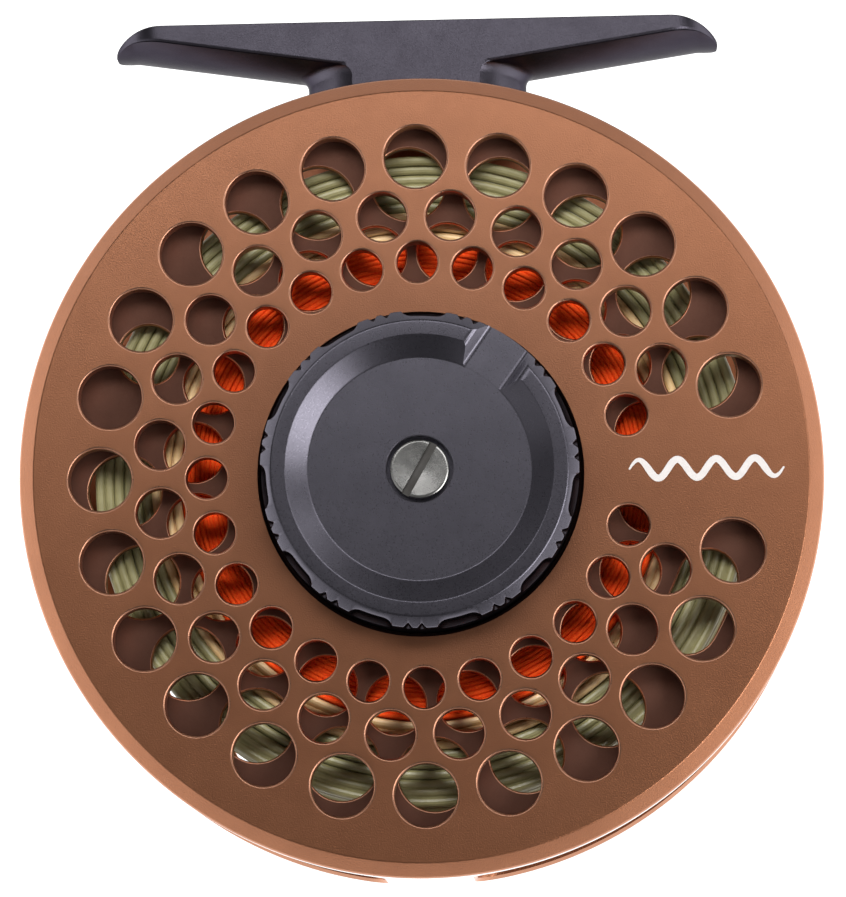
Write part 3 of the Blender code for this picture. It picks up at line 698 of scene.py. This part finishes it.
def make_foot():
    """Closed mesh of saddle, wings and pedestal; its sharp edges are then rounded."""
    bm = bmesh.new()
    spread = np.sin(np.linspace(-0.5 * math.pi, 0.5 * math.pi, 33))

    # Middle: pedestal and saddle between the two wing roots.
    rows = [[bm.verts.new((x, FOOT_WIDE * t, z)) for x, z in pedestal_profile(FOOT_WIDE * t)]
            for t in spread]
    roots = [[bm.verts.new((side * WING_START, FOOT_WIDE * t, saddle_height(FOOT_WIDE * t)))
              for t in spread] for side in (1, -1)]
    for i in range(len(spread) - 1):
        for j in range(len(rows[0]) - 1):
            bm.faces.new((rows[i][j], rows[i][j + 1], rows[i + 1][j + 1], rows[i + 1][j]))
        bm.faces.new((roots[0][i], roots[0][i + 1], roots[1][i + 1], roots[1][i]))
    for i in (0, -1):
        bm.faces.new(rows[i] + [roots[1][i], roots[0][i]])

    # Wings: closed sections out to the rounded tips.
    straight = FOOT_HALF - TIP_LENGTH
    stations = [(x, FOOT_WIDE) for x in np.linspace(WING_START, straight, 7)[1:]]
    for turn in np.radians(np.linspace(0.0, 84.0, 25)[1:]):
        stations.append((straight + TIP_LENGTH * math.sin(turn) ** (2 / TIP_POWER),
                         FOOT_WIDE * math.cos(turn) ** (2 / TIP_POWER)))
    for side, column, root in ((1, 0, roots[0]), (-1, -1, roots[1])):
        inner = root + [row[column] for row in reversed(rows)]
        for x, half in stations:
            outer = [bm.verts.new((side * x, half * t, saddle_height(half * t))) for t in spread]
            outer += [bm.verts.new((side * x, half * t, wing_underside(x, half * t)))
                      for t in reversed(spread)]
            strip(bm, inner, outer)
            inner = outer
        bm.faces.new(inner)

    # The edges along the saddle and at the tips are rounded less than the others.
    rounding = bm.edges.layers.float.new("bevel_weight_edge")
    small_share = 0.3
    bmesh.ops.recalc_face_normals(bm, faces=bm.faces)
    for edge in bm.edges:
        if edge.calc_face_angle(0.0) > math.radians(38.0):
            on_top = all(abs(v.co.z - saddle_height(v.co.y)) < 0.01 for v in edge.verts)
            at_tip = all(abs(v.co.x) > FOOT_HALF - 0.5 for v in edge.verts)
            edge[rounding] = small_share if on_top or at_tip else 1.0
    # The foot takes the darkened gunmetal, painted shade.
    foot = finish_mesh("foot_body", bm, FOOT, [GUNMETAL_FOOT_PAINTED_SHADE])
    bevel = foot.modifiers.new("bevel", "BEVEL")
    bevel.width = 0.4 * MM
    bevel.segments = 4
    bevel.limit_method = "WEIGHT"
    bevel.use_clamp_overlap = False
    bake(foot)
    return ride(foot, "reel_frame", "gunmetal_anodised", "foot")


# The drag knob.

SCALLOP_DEPTH = 0.62
SCALLOP_HALF_ANGLE = 8.2
SCALLOP_POWER = 6
PLAIN_HALF_ANGLE = 12.0
NOTCH_DEPTH = 0.5
NOTCH_HALF_ANGLE = 1.65
NOTCH_SHIFT = 2.5


def group_offset(angle, shift=0.0):
    """Angle from the nearest group centre on the knob's edge."""
    step = 360.0 / KNOB_GROUPS
    return (angle - POINTER_ANGLE - shift + step / 2) % step - step / 2


def scallop_depth(angle):
    """Depth of the finger scallops; there is none at the pointer."""
    if abs((angle - POINTER_ANGLE + 180.0) % 360.0 - 180.0) < PLAIN_HALF_ANGLE:
        return 0.0
    away = abs(group_offset(angle)) / SCALLOP_HALF_ANGLE
    return SCALLOP_DEPTH * max(0.0, 1.0 - away ** SCALLOP_POWER)


def notch_depth(angle):
    """Depth of the pair of small notches between two scallops."""
    half_step = 360.0 / KNOB_GROUPS / 2
    depth = 0.0
    for shift in (half_step - NOTCH_SHIFT, half_step + NOTCH_SHIFT):
        away = abs(group_offset(angle, shift)) / NOTCH_HALF_ANGLE
        depth = max(depth, NOTCH_DEPTH * (1.0 - away))
    return depth


def run_out(height, start, end):
    """How much of a cut is left at this height: all of it above start, none below end."""
    t = min(1.0, max(0.0, (start - height) / (start - end)))
    return 1.0 - t * t


def make_knob():
    """Dished knob with a bevelled, scalloped and notched edge and a pointer groove."""
    count = 1320
    bm = bmesh.new()
    face = [
        (3.4, KNOB_FLOOR - 0.12), (3.5, KNOB_FLOOR), (11.32, KNOB_FLOOR),
        (11.42, KNOB_FLOOR + 0.02), (11.52, KNOB_FLOOR + 0.06), (13.56, KNOB_TOP - 0.05),
        (13.64, KNOB_TOP - 0.02), (13.72, KNOB_TOP), (KNOB_LAND_R - 0.07, KNOB_TOP),
        (KNOB_LAND_R + 0.02, KNOB_TOP - 0.010), (KNOB_LAND_R + 0.10, KNOB_TOP - 0.032),
        (KNOB_LAND_R + 0.18, KNOB_TOP - 0.066)]
    rings = [ring(bm, radius, height, count) for radius, height in face]

    # The bevel runs down to the edge, which follows the scallops and notches.
    slope, bevel_start, edge_round, edge_drop = 0.68, KNOB_LAND_R + 0.17, 0.1, 0.13
    angles = [360.0 * index / count for index in range(count)]
    scallops = [scallop_depth(angle) for angle in angles]
    notches = [notch_depth(angle) for angle in angles]
    bevel_row, edge_row = [], []
    for angle, scallop, notch in zip(angles, scallops, notches):
        wall = KNOB_R - max(scallop, notch)
        height = KNOB_TOP - slope * (wall - bevel_start)
        x, y = polar(wall - edge_round, angle)
        bevel_row.append(bm.verts.new((x, y, height)))
        x, y = polar(wall, angle)
        edge_row.append(bm.verts.new((x, y, height - edge_drop)))
    side_start = len(rings) + 1
    rings += [bevel_row, edge_row]
    side_heights = (18.3, 18.0, 17.8, 17.6, 17.4, 17.2, 17.0, 16.8, 16.6, 16.4, 16.2, 16.1, 16.0,
                    15.4)
    for height in side_heights:
        row = []
        for angle, scallop, notch in zip(angles, scallops, notches):
            deep = max(scallop * run_out(height, 17.6, 16.0), notch * run_out(height, 18.0, 17.2))
            x, y = polar(KNOB_R - deep, angle)
            row.append(bm.verts.new((x, y, height)))
        rings.append(row)
    side_end = len(rings)
    for radius, height in ((KNOB_R, KNOB_LOW), (3.7, KNOB_LOW), (3.7, 15.6), (1.8, 15.6),
                           (1.8, 17.0), (3.4, 17.0)):
        rings.append(ring(bm, radius, height, count))
    # Slot 1, the lightened gunmetal, is painted light on the dished floor.
    dish_painted_light_slot, side = 1, 2
    # Slot 2, the darkened gunmetal, is painted shade on the knob's side and scallops.
    slots = [side if side_start <= index < side_end else 0 for index in range(len(rings))]
    slots[1] = dish_painted_light_slot
    strips(bm, rings + [rings[0]], slots)
    knob = finish_mesh("knob_body", bm, REEL, [GUNMETAL, GUNMETAL_DISH_PAINTED_LIGHT, GUNMETAL_SIDE_PAINTED_SHADE])

    # The pointer groove is level with the dished middle; its walls lean out in a soft S.
    groove = bmesh.new()
    half = [(2.0, 0.0), (2.16, 0.015), (2.32, 0.06), (2.46, 0.14), (2.58, 0.25), (3.0, 0.66),
            (3.14, 0.77), (3.3, 0.85), (3.48, 0.91), (3.68, 0.94), (3.9, 0.96), (6.2, 2.6)]
    section = [(-x, z) for x, z in reversed(half)] + half
    floor = KNOB_FLOOR + 0.015
    ends = []
    for reach in (10.0, 19.0):
        ends.append([groove.verts.new((reach, y, floor + z)) for y, z in section])
    strip(groove, ends[0], ends[1])
    groove.faces.ensure_lookup_table()
    # The groove's floor also gets the lightened gunmetal, painted light.
    groove.faces[len(half) - 1].material_index = dish_painted_light_slot
    for end in ends:
        groove.faces.new(end)
    bmesh.ops.rotate(groove, verts=groove.verts, cent=(0, 0, 0),
                     matrix=Matrix.Rotation(math.radians(POINTER_ANGLE), 3, "Z"))
    cut(knob, finish_mesh("groove_cutter", groove, REEL, [GUNMETAL, GUNMETAL_DISH_PAINTED_LIGHT]))
    return ride(knob, "knob_body", "gunmetal_anodised", "drag_knob")


def make_knob_screw():
    """Slotted screw with a shallow cone turned into its head."""
    bm = bmesh.new()
    head = 18.42
    lathe(bm, [
        (0.0, head - 0.34, 0), (0.12, head - 0.30, 0), (0.3, head - 0.15, 0),
        (0.42, head - 0.13, 0), (2.7, head, 0), (2.85, head - 0.02, 0), (2.95, head - 0.08, 0),
        (3.0, head - 0.18, 0), (3.0, head - 1.0, 0), (1.4, head - 1.0, 0), (1.4, 11.4, 0),
        (0.0, 11.4, 0)], 96)
    screw = finish_mesh("knob_screw_head", bm, REEL, [STEEL, STEEL_SLOT_PAINTED_SHADE])
    slot = bmesh.new()
    bmesh.ops.create_cube(slot, size=1.0, matrix=(
        Matrix.Translation((0, 0, head)) @ Matrix.Rotation(math.radians(60.0), 4, "Z")
        @ Matrix.Diagonal((8.0, 0.85, 1.2, 1.0))))
    # The slot's inside gets the darkened steel, painted shade.
    for face in slot.faces:
        face.material_index = 1
    cut(screw, finish_mesh("slot_cutter", slot, REEL, [STEEL, STEEL_SLOT_PAINTED_SHADE]))
    return ride(screw, "reel_frame", "stainless_steel", "knob_screw")


# The spool.

def spool_ports():
    """Two rings of ports; the outer ring leaves room for the handle and the counterweight."""
    ports = []
    ring_r, port_r, first = OUTER_PORT
    for index in range(SPOOL_PORTS):
        angle = first + SPOOL_PORT_STEP * index
        if abs((angle - HANDLE_ANGLE + 90.0) % 180.0 - 90.0) > SPOOL_PORT_STEP * 0.75:
            ports.append(circle_port(*polar(ring_r, angle), port_r, 48))
    ring_r, port_r, first = INNER_PORT
    for index in range(SPOOL_PORTS):
        ports.append(circle_port(*polar(ring_r, first + SPOOL_PORT_STEP * index), port_r, 44))
    return ports


def hex_bore(angle):
    """Radius of the six-sided bore at this angle."""
    return 3.6 * math.cos(math.pi / 6) / math.cos(math.radians(angle % 60.0 - 30.0))


def make_spool():
    """Inner flange, arbor, web with its hub, and outer flange with the palming rim."""
    bm = bmesh.new()
    flange_low = SPOOL_TOP - FLANGE_T
    ports = spool_ports()
    ports.append(circle_port(*polar(HANDLE_R, HANDLE_ANGLE), 3.1, 44))
    ports.append(arc_port(31.2, 3.0, HANDLE_ANGLE + 180.0, 4.8))
    ported_disc(bm, [(SPOOL_R - 0.2, SPOOL_TOP, 1), (SPOOL_R, SPOOL_TOP - 0.2, 0),
                     (SPOOL_R, flange_low + 0.2, 1), (SPOOL_R - 0.2, flange_low, 0)],
                [(ARBOR_R - 0.1, SPOOL_TOP, 0), (ARBOR_R - 0.1, flange_low, 0)], ports)

    # Arbor tube.
    lathe(bm, [(ARBOR_BORE_R + 0.2, SPOOL_TOP - 0.02, 0), (ARBOR_R, SPOOL_TOP - 0.02, 0),
               (ARBOR_R, OUTER_TOP - 0.1, 0), (ARBOR_BORE_R, OUTER_TOP - 0.1, 0),
               (ARBOR_BORE_R, SPOOL_TOP - 0.22, 1)], 180)

    # Web with its hub, dished below the outer flange.
    web_top, web_low = -6.8, -8.8
    web = [circle_port(*polar(12.0, 60.0 * index + 4.6), 3.4, 48) for index in range(6)]
    ported_disc(bm, [(17.8, web_top, 0), (18.4, OUTER_TOP, 0), (18.4, OUTER_LOW + 0.01, 0),
                     (17.35, OUTER_LOW + 0.01, 1), (17.1, OUTER_LOW + 0.15, 0), (15.6, web_low, 0)],
                [(6.0, web_top, 0), (6.0, -5.8, 1), (5.8, -5.6, 0), (hex_bore, -5.6, 0),
                 (hex_bore, web_low, 0), (5.6, web_low, 0), (5.6, -10.2, 1), (5.8, -10.4, 0),
                 (6.95, -10.4, 1), (7.2, -10.2, 0), (8.0, web_low, 0)], web, 180, wall=2)

    # Outer flange with the palming rim.
    palm = [(SPOOL_R, OUTER_TOP, 0), (SPOOL_R, -10.85, 2), (REEL_R - 0.25, -10.85, 1),
            (REEL_R, -11.1, 3), (REEL_R, -13.0, 3), (REEL_R - 0.12, -13.5, 2),
            (REEL_R - 0.45, -13.86, 2), (REEL_R - 0.95, PALM_LOW, 2), (39.9, PALM_LOW, 2),
            (39.4, -13.85, 2), (38.9, -13.4, 2), (38.2, -12.0, 2), (37.9, -11.5, 2),
            (37.6, -11.2, 2), (37.1, OUTER_LOW, 2)]
    ported_disc(bm, palm, [(18.3, OUTER_TOP, 2), (18.3, OUTER_LOW, 2)], spool_ports(), wall=2)

    # Boss under the handle.
    boss = rounded([(2.3, -10.6), (5.3, -10.6), (5.2, -12.2), (2.3, -12.2)], 0.3, slot=2)
    lathe(bm, boss, 72, polar(HANDLE_R, HANDLE_ANGLE))
    # Slot 0 is the darkened spool copper, painted shade on the spool's faces behind the plate.
    spool = finish_mesh("spool_shell", bm, REEL, [SPOOL_COPPER_PAINTED_SHADE, COPPER_CUT_EDGE_AND_HIGHLIGHT, COPPER, COPPER_SIDE])
    return ride(spool, "spool_body", "copper_anodised", "spool")


# The wound lines.

def strand(rng, radius, height, wire, wobble, rise):
    """One turn of line as a ring whose radius and height drift slowly round the spool."""
    count, sides = 150, 12
    full_turn = 6.28
    turns = np.linspace(0.0, 2 * np.pi, count, endpoint=False)
    r = np.full(count, radius)
    h = np.full(count, height)
    for k in (1, 2, 3, 5):
        size = wobble / k * math.sin(rng.uniform(0, full_turn))
        r = r + size * np.sin(k * turns + rng.uniform(0, full_turn))
        h = h + rise / k * np.sin(k * turns + rng.uniform(0, full_turn))
    around = np.linspace(0.0, 2 * np.pi, sides, endpoint=False)
    rr = r[:, None] + wire * np.cos(around)[None, :]
    hh = h[:, None] + wire * np.sin(around)[None, :]
    verts = np.stack([rr * np.cos(turns)[:, None], rr * np.sin(turns)[:, None], hh], -1)
    verts = verts.reshape(-1, 3)
    a = np.arange(count)[:, None] * sides
    b = (np.arange(count)[:, None] + 1) % count * sides
    i = np.arange(sides)[None, :]
    j = (i + 1) % sides
    faces = np.stack([a + i, b + i, b + j, a + j], -1).reshape(-1, 4)
    return verts, faces


def wound_line(name, inner, outer, low, high, wire, pitch, seed, material, slot, node, loose,
               skin=False):
    """Turns of line on both side faces of a band and, for the outer band's skin, on its outside.

    A second layer of turns closes the gaps, and a plain core fills the band.
    """
    rng = random.Random(seed)
    parts = []
    layers = max(1, int(round((outer - inner) / pitch)))
    step = (outer - inner) / layers
    for side in (1, -1):
        base = high - wire if side > 0 else low + wire
        for layer in range(layers):
            radius = inner + step * (layer + 0.5)
            sunk = rng.uniform(0.0, 0.35) * wire
            parts.append(strand(rng, radius, base - side * (sunk + loose), wire,
                                0.10 * pitch, loose))
            parts.append(strand(rng, radius, base - side * (1.6 * wire + loose), wire,
                                0.25 * pitch, loose))
    if skin:
        rows = int((high - low) / pitch)
        gap = (high - low - 2 * wire) / (rows - 1)
        for row in range(rows):
            height = low + wire + gap * row
            between = height + (0.5 if row < rows - 1 else -0.5) * gap
            parts.append(strand(rng, outer - wire, height, wire, 0.02, 0.12))
            parts.append(strand(rng, outer - 2.4 * wire, between, wire, 0.02, 0.12))
    verts, faces, start = [], [], 0
    for part_verts, part_faces in parts:
        verts.append(part_verts)
        faces.append(part_faces + start)
        start += len(part_verts)
    bm = bmesh.new()
    core = 2.0 * wire
    lathe(bm, [(inner, high - core, 0), (outer - core * 0.9, high - core, 0),
               (outer - core * 0.9, low + core, 0), (inner, low + core, 0)], 120)
    mesh = bpy.data.meshes.new("strands")
    mesh.from_pydata(np.concatenate(verts).tolist(), [], np.concatenate(faces).tolist())
    bm.from_mesh(mesh)
    bpy.data.meshes.remove(mesh)
    line = finish_mesh(name, bm, REEL, [material], 80.0)
    FILL_LIT.objects.link(line)
    return ride(line, "spool_body", slot, node)


def make_lines():
    """The fly line over the running line over the backing."""
    low = OUTER_TOP + 0.25
    high = SPOOL_TOP - FLANGE_T - 0.2
    wound_line("fly_line_turns", 28.0, 33.8, low, high, 0.50, 1.0, 3, GREEN, "green_fly_line",
               "fly_line", 0.16, True)
    wound_line("running_line_turns", 24.95, 28.0, low, high, 0.48, 1.0, 5, TAN,
               "tan_running_line", "running_line", 0.12)
    wound_line("backing_turns", ARBOR_R + 0.1, 24.9, low, high, 0.24, 0.47, 7, ORANGE,
               "orange_backing", "backing", 0.14)


# Handle side.

def make_handle():
    """Turned grip on a pin, its screw, and the counterweight on the other side."""
    place = polar(HANDLE_R, HANDLE_ANGLE)
    bm = bmesh.new()
    curve = [(2.3, -12.5), (4.7, -12.5), (5.25, -12.9), (5.3, -13.6), (4.95, -14.8), (4.7, -16.2),
             (4.6, -18.2), (4.75, -20.4), (5.2, -22.8), (5.75, -25.2), (6.1, -27.2)]
    groove = [(6.15, -27.6), (5.85, -27.8), (5.85, -28.2), (6.2, -28.4), (6.3, -29.4),
              (6.3, -30.4), (6.05, -31.3), (5.6, -32.0), (4.9, -32.5), (3.3, -32.5), (3.05, -32.3),
              (3.05, -30.6), (2.3, -30.6)]
    lathe(bm, [(r, h, 0) for r, h in curve + groove], 120, place)
    grip = finish_mesh("handle_grip", bm, REEL, [GUNMETAL])
    ride(grip, "handle_body", "gunmetal_anodised", "handle_knob")

    bm = bmesh.new()
    lathe(bm, rounded([(0.0, -9.8), (3.0, -9.8), (3.0, -10.7), (2.0, -10.7), (2.0, -30.6),
                       (1.3, -30.6), (1.3, -28.0), (0.0, -28.0)], 0.12, edge=0), 64, place)
    post = finish_mesh("handle_post_pin", bm, REEL, [STEEL])
    ride(post, "spool_body", "stainless_steel", "handle_post")

    bm = bmesh.new()
    lathe(bm, [(0.0, -28.4, 0), (1.0, -28.4, 0), (1.0, -30.9, 0), (2.7, -30.9, 0),
               (2.7, -31.5, 0), (2.5, -31.7, 0), (1.5, -31.72, 0), (0.0, -31.66, 0)], 64, place)
    screw = finish_mesh("handle_screw_head", bm, REEL, [STEEL])
    slot = bmesh.new()
    bmesh.ops.create_cube(slot, size=1.0, matrix=(
        Matrix.Translation((*place, -31.7)) @ Matrix.Diagonal((8.0, 0.6, 0.7, 1.0))))
    cut(screw, finish_mesh("slot_cutter", slot, REEL, [STEEL]))
    ride(screw, "spool_body", "stainless_steel", "handle_screw")

    bm = bmesh.new()
    other = polar(HANDLE_R, HANDLE_ANGLE + 180.0)
    lathe(bm, [(0.0, -9.8, 0), (4.1, -9.8, 0), (4.1, -11.02, 0), (4.8, -11.02, 0), (5.0, -11.2, 0),
               (5.0, -12.3, 0), (4.85, -12.65, 0), (4.45, -12.9, 0), (3.9, -13.0, 0),
               (2.6, -13.0, 0), (2.4, -12.8, 0), (0.0, -12.8, 0)], 96, other)
    weight = finish_mesh("counterweight_slug", bm, REEL, [GUNMETAL])
    ride(weight, "spool_body", "gunmetal_anodised", "counterweight")


def make_cap():
    """Captive cap with a knurled edge and a dished face."""
    flutes = 24

    def fluted(radius, depth):
        def shape(angle):
            off = (angle * flutes / 360.0) % 1.0 - 0.5
            return radius - depth * max(0.0, 1.0 - (abs(off) / 0.28) ** 2)
        return shape

    bm = bmesh.new()
    count = flutes * 16
    lathe(bm, [
        (0.0, -14.5, 0), (2.3, -14.5, 0), (2.3, -9.1, 0), (4.0, -9.1, 0), (4.0, -10.7, 0),
        (6.3, -10.7, 0), (fluted(6.75, 0.1), -10.8, 0), (fluted(7.0, 0.4), -11.2, 0),
        (fluted(7.0, 0.45), -14.5, 0), (fluted(6.75, 0.25), -14.95, 0), (6.3, -15.4, 1),
        (6.1, -15.58, 0), (5.2, -15.6, 1), (5.05, -15.55, 0), (4.4, -15.1, 0), (1.4, -14.98, 1),
        (1.2, -15.1, 0), (0.0, -15.12, 0)], count)
    cap = finish_mesh("cap_body", bm, REEL, [GUNMETAL, GUNMETAL_EDGE])
    return ride(cap, "cap_body", "gunmetal_anodised", "spool_cap")


# Camera, light and floor.

def make_camera():
    """In front of the drag side, a little below the reel's axis and looking slightly up."""
    data = bpy.data.cameras.new("camera")
    data.sensor_fit = "VERTICAL"
    data.sensor_height = 24.0
    data.lens = 144.0
    data.clip_start = 0.01
    camera = bpy.data.objects.new("camera", data)
    bpy.context.scene.collection.objects.link(camera)
    camera.location = (0.01415, -0.56052, AXIS_Z - 0.06155)
    camera.rotation_euler = [math.radians(value) for value in (96.691, 0.964, 1.567)]
    bpy.context.scene.camera = camera


def softbox(name, distance, around, off_axis, size, radiance):
    """A panel facing the reel, placed by its angle round the view and off the view's axis."""
    turn, tilt = math.radians(around), math.radians(off_axis)
    centre = Vector((0.0, 0.0, AXIS_Z))
    away = Vector((math.cos(turn) * math.sin(tilt), -math.cos(tilt),
                   math.sin(turn) * math.sin(tilt)))
    data = bpy.data.lights.new(name, "AREA")
    data.shape = "RECTANGLE"
    data.size, data.size_y = size
    data.energy = radiance * math.pi * size[0] * size[1]
    light = bpy.data.objects.new(name, data)
    bpy.context.scene.collection.objects.link(light)
    light.location = centre + away * distance
    light.rotation_euler = away.to_track_quat("Z", "Y").to_euler()
    light.visible_camera = False
    return light


def make_floor():
    """A plain pale sheet well below the reel, which doesn't show in the metal."""
    bm = bmesh.new()
    floor_z = -0.46
    half = 2.5
    corners = [bm.verts.new((x, y, floor_z)) for x, y in
               ((-half, -half), (half, -half), (half, half), (-half, half))]
    bm.faces.new(corners)
    paper = plain("floor_paper", (0.78, 0.78, 0.78), (0.80, 0.80, 0.80), 0.8, 40.0)
    floor = finish_mesh("floor", bm, Matrix.Identity(4), [paper])
    floor.visible_glossy = False


def make_studio():
    """Soft light from beside and behind the reel, fading above it, and four panels in front.

    The camera sees the backdrop at full white, whatever light it gives.
    """
    world = bpy.data.worlds.new("studio")
    bpy.context.scene.world = world
    world.use_nodes = True
    tree = world.node_tree
    background = tree.nodes["Background"]
    background.inputs["Color"].default_value = (1.0, 1.0, 1.0, 1.0)
    coords = tree.nodes.new("ShaderNodeTexCoord")
    axes = tree.nodes.new("ShaderNodeSeparateXYZ")
    tree.links.new(coords.outputs["Generated"], axes.inputs["Vector"])
    depth = tree.nodes.new("ShaderNodeMapRange")
    depth.interpolation_type = "SMOOTHSTEP"
    depth.inputs["From Min"].default_value = -0.45
    depth.inputs["From Max"].default_value = -0.2
    depth.inputs["To Min"].default_value = 0.08
    depth.inputs["To Max"].default_value = 1.5
    tree.links.new(axes.outputs["Y"], depth.inputs["Value"])
    height = tree.nodes.new("ShaderNodeMapRange")
    height.inputs["From Min"].default_value = -1.0
    tree.links.new(axes.outputs["Z"], height.inputs["Value"])
    falloff = tree.nodes.new("ShaderNodeValToRGB")
    stops = falloff.color_ramp.elements
    stops.new(0.35)
    stops.new(0.65)
    levels = ((0.05, 0.75), (0.35, 1.0), (0.65, 1.0), (0.95, 0.45))
    for stop, (place, value) in zip(stops, levels):
        stop.position = place
        stop.color = (value, value, value, 1.0)
    tree.links.new(height.outputs["Result"], falloff.inputs["Fac"])
    product = tree.nodes.new("ShaderNodeMath")
    product.operation = "MULTIPLY"
    tree.links.new(depth.outputs["Result"], product.inputs[0])
    tree.links.new(falloff.outputs["Color"], product.inputs[1])
    path = tree.nodes.new("ShaderNodeLightPath")
    backdrop = tree.nodes.new("ShaderNodeMath")
    backdrop.operation = "MAXIMUM"
    tree.links.new(product.outputs["Value"], backdrop.inputs[0])
    tree.links.new(path.outputs["Is Camera Ray"], backdrop.inputs[1])
    tree.links.new(backdrop.outputs["Value"], background.inputs["Strength"])

    softbox("above_lens", 0.28, 78.0, 22.5, (0.30, 0.075), 2.0)
    softbox("lower_right", 0.50, -25.0, 42.0, (0.18, 0.34), 4.2)
    softbox("lower_left", 0.50, 212.0, 45.0, (0.32, 0.36), 0.32)
    fill = softbox("line_fill", 0.45, 100.0, 28.0, (0.20, 0.16), 22.0)
    fill.light_linking.receiver_collection = FILL_LIT
    bpy.context.scene.view_settings.view_transform = "Standard"


def dress_cad_nodes():
    """Give every node that stays in view the material of its slot."""
    slots = {part["node"]: part["material_slot"] for part in frame["record"]["subparts"]}
    for name, obj in frame["nodes"].items():
        obj.data.materials.clear()
        obj.data.materials.append(SLOT_MATERIALS[slots[name]])
        obj.data.shade_smooth()
        obj.data.set_sharp_from_angle(angle=math.radians(30.0))


make_camera()
make_floor()
make_studio()
dress_cad_nodes()
make_frame()
make_mark()
make_foot()
make_knob()
make_knob_screw()
make_spool()
make_lines()
make_handle()
make_cap()
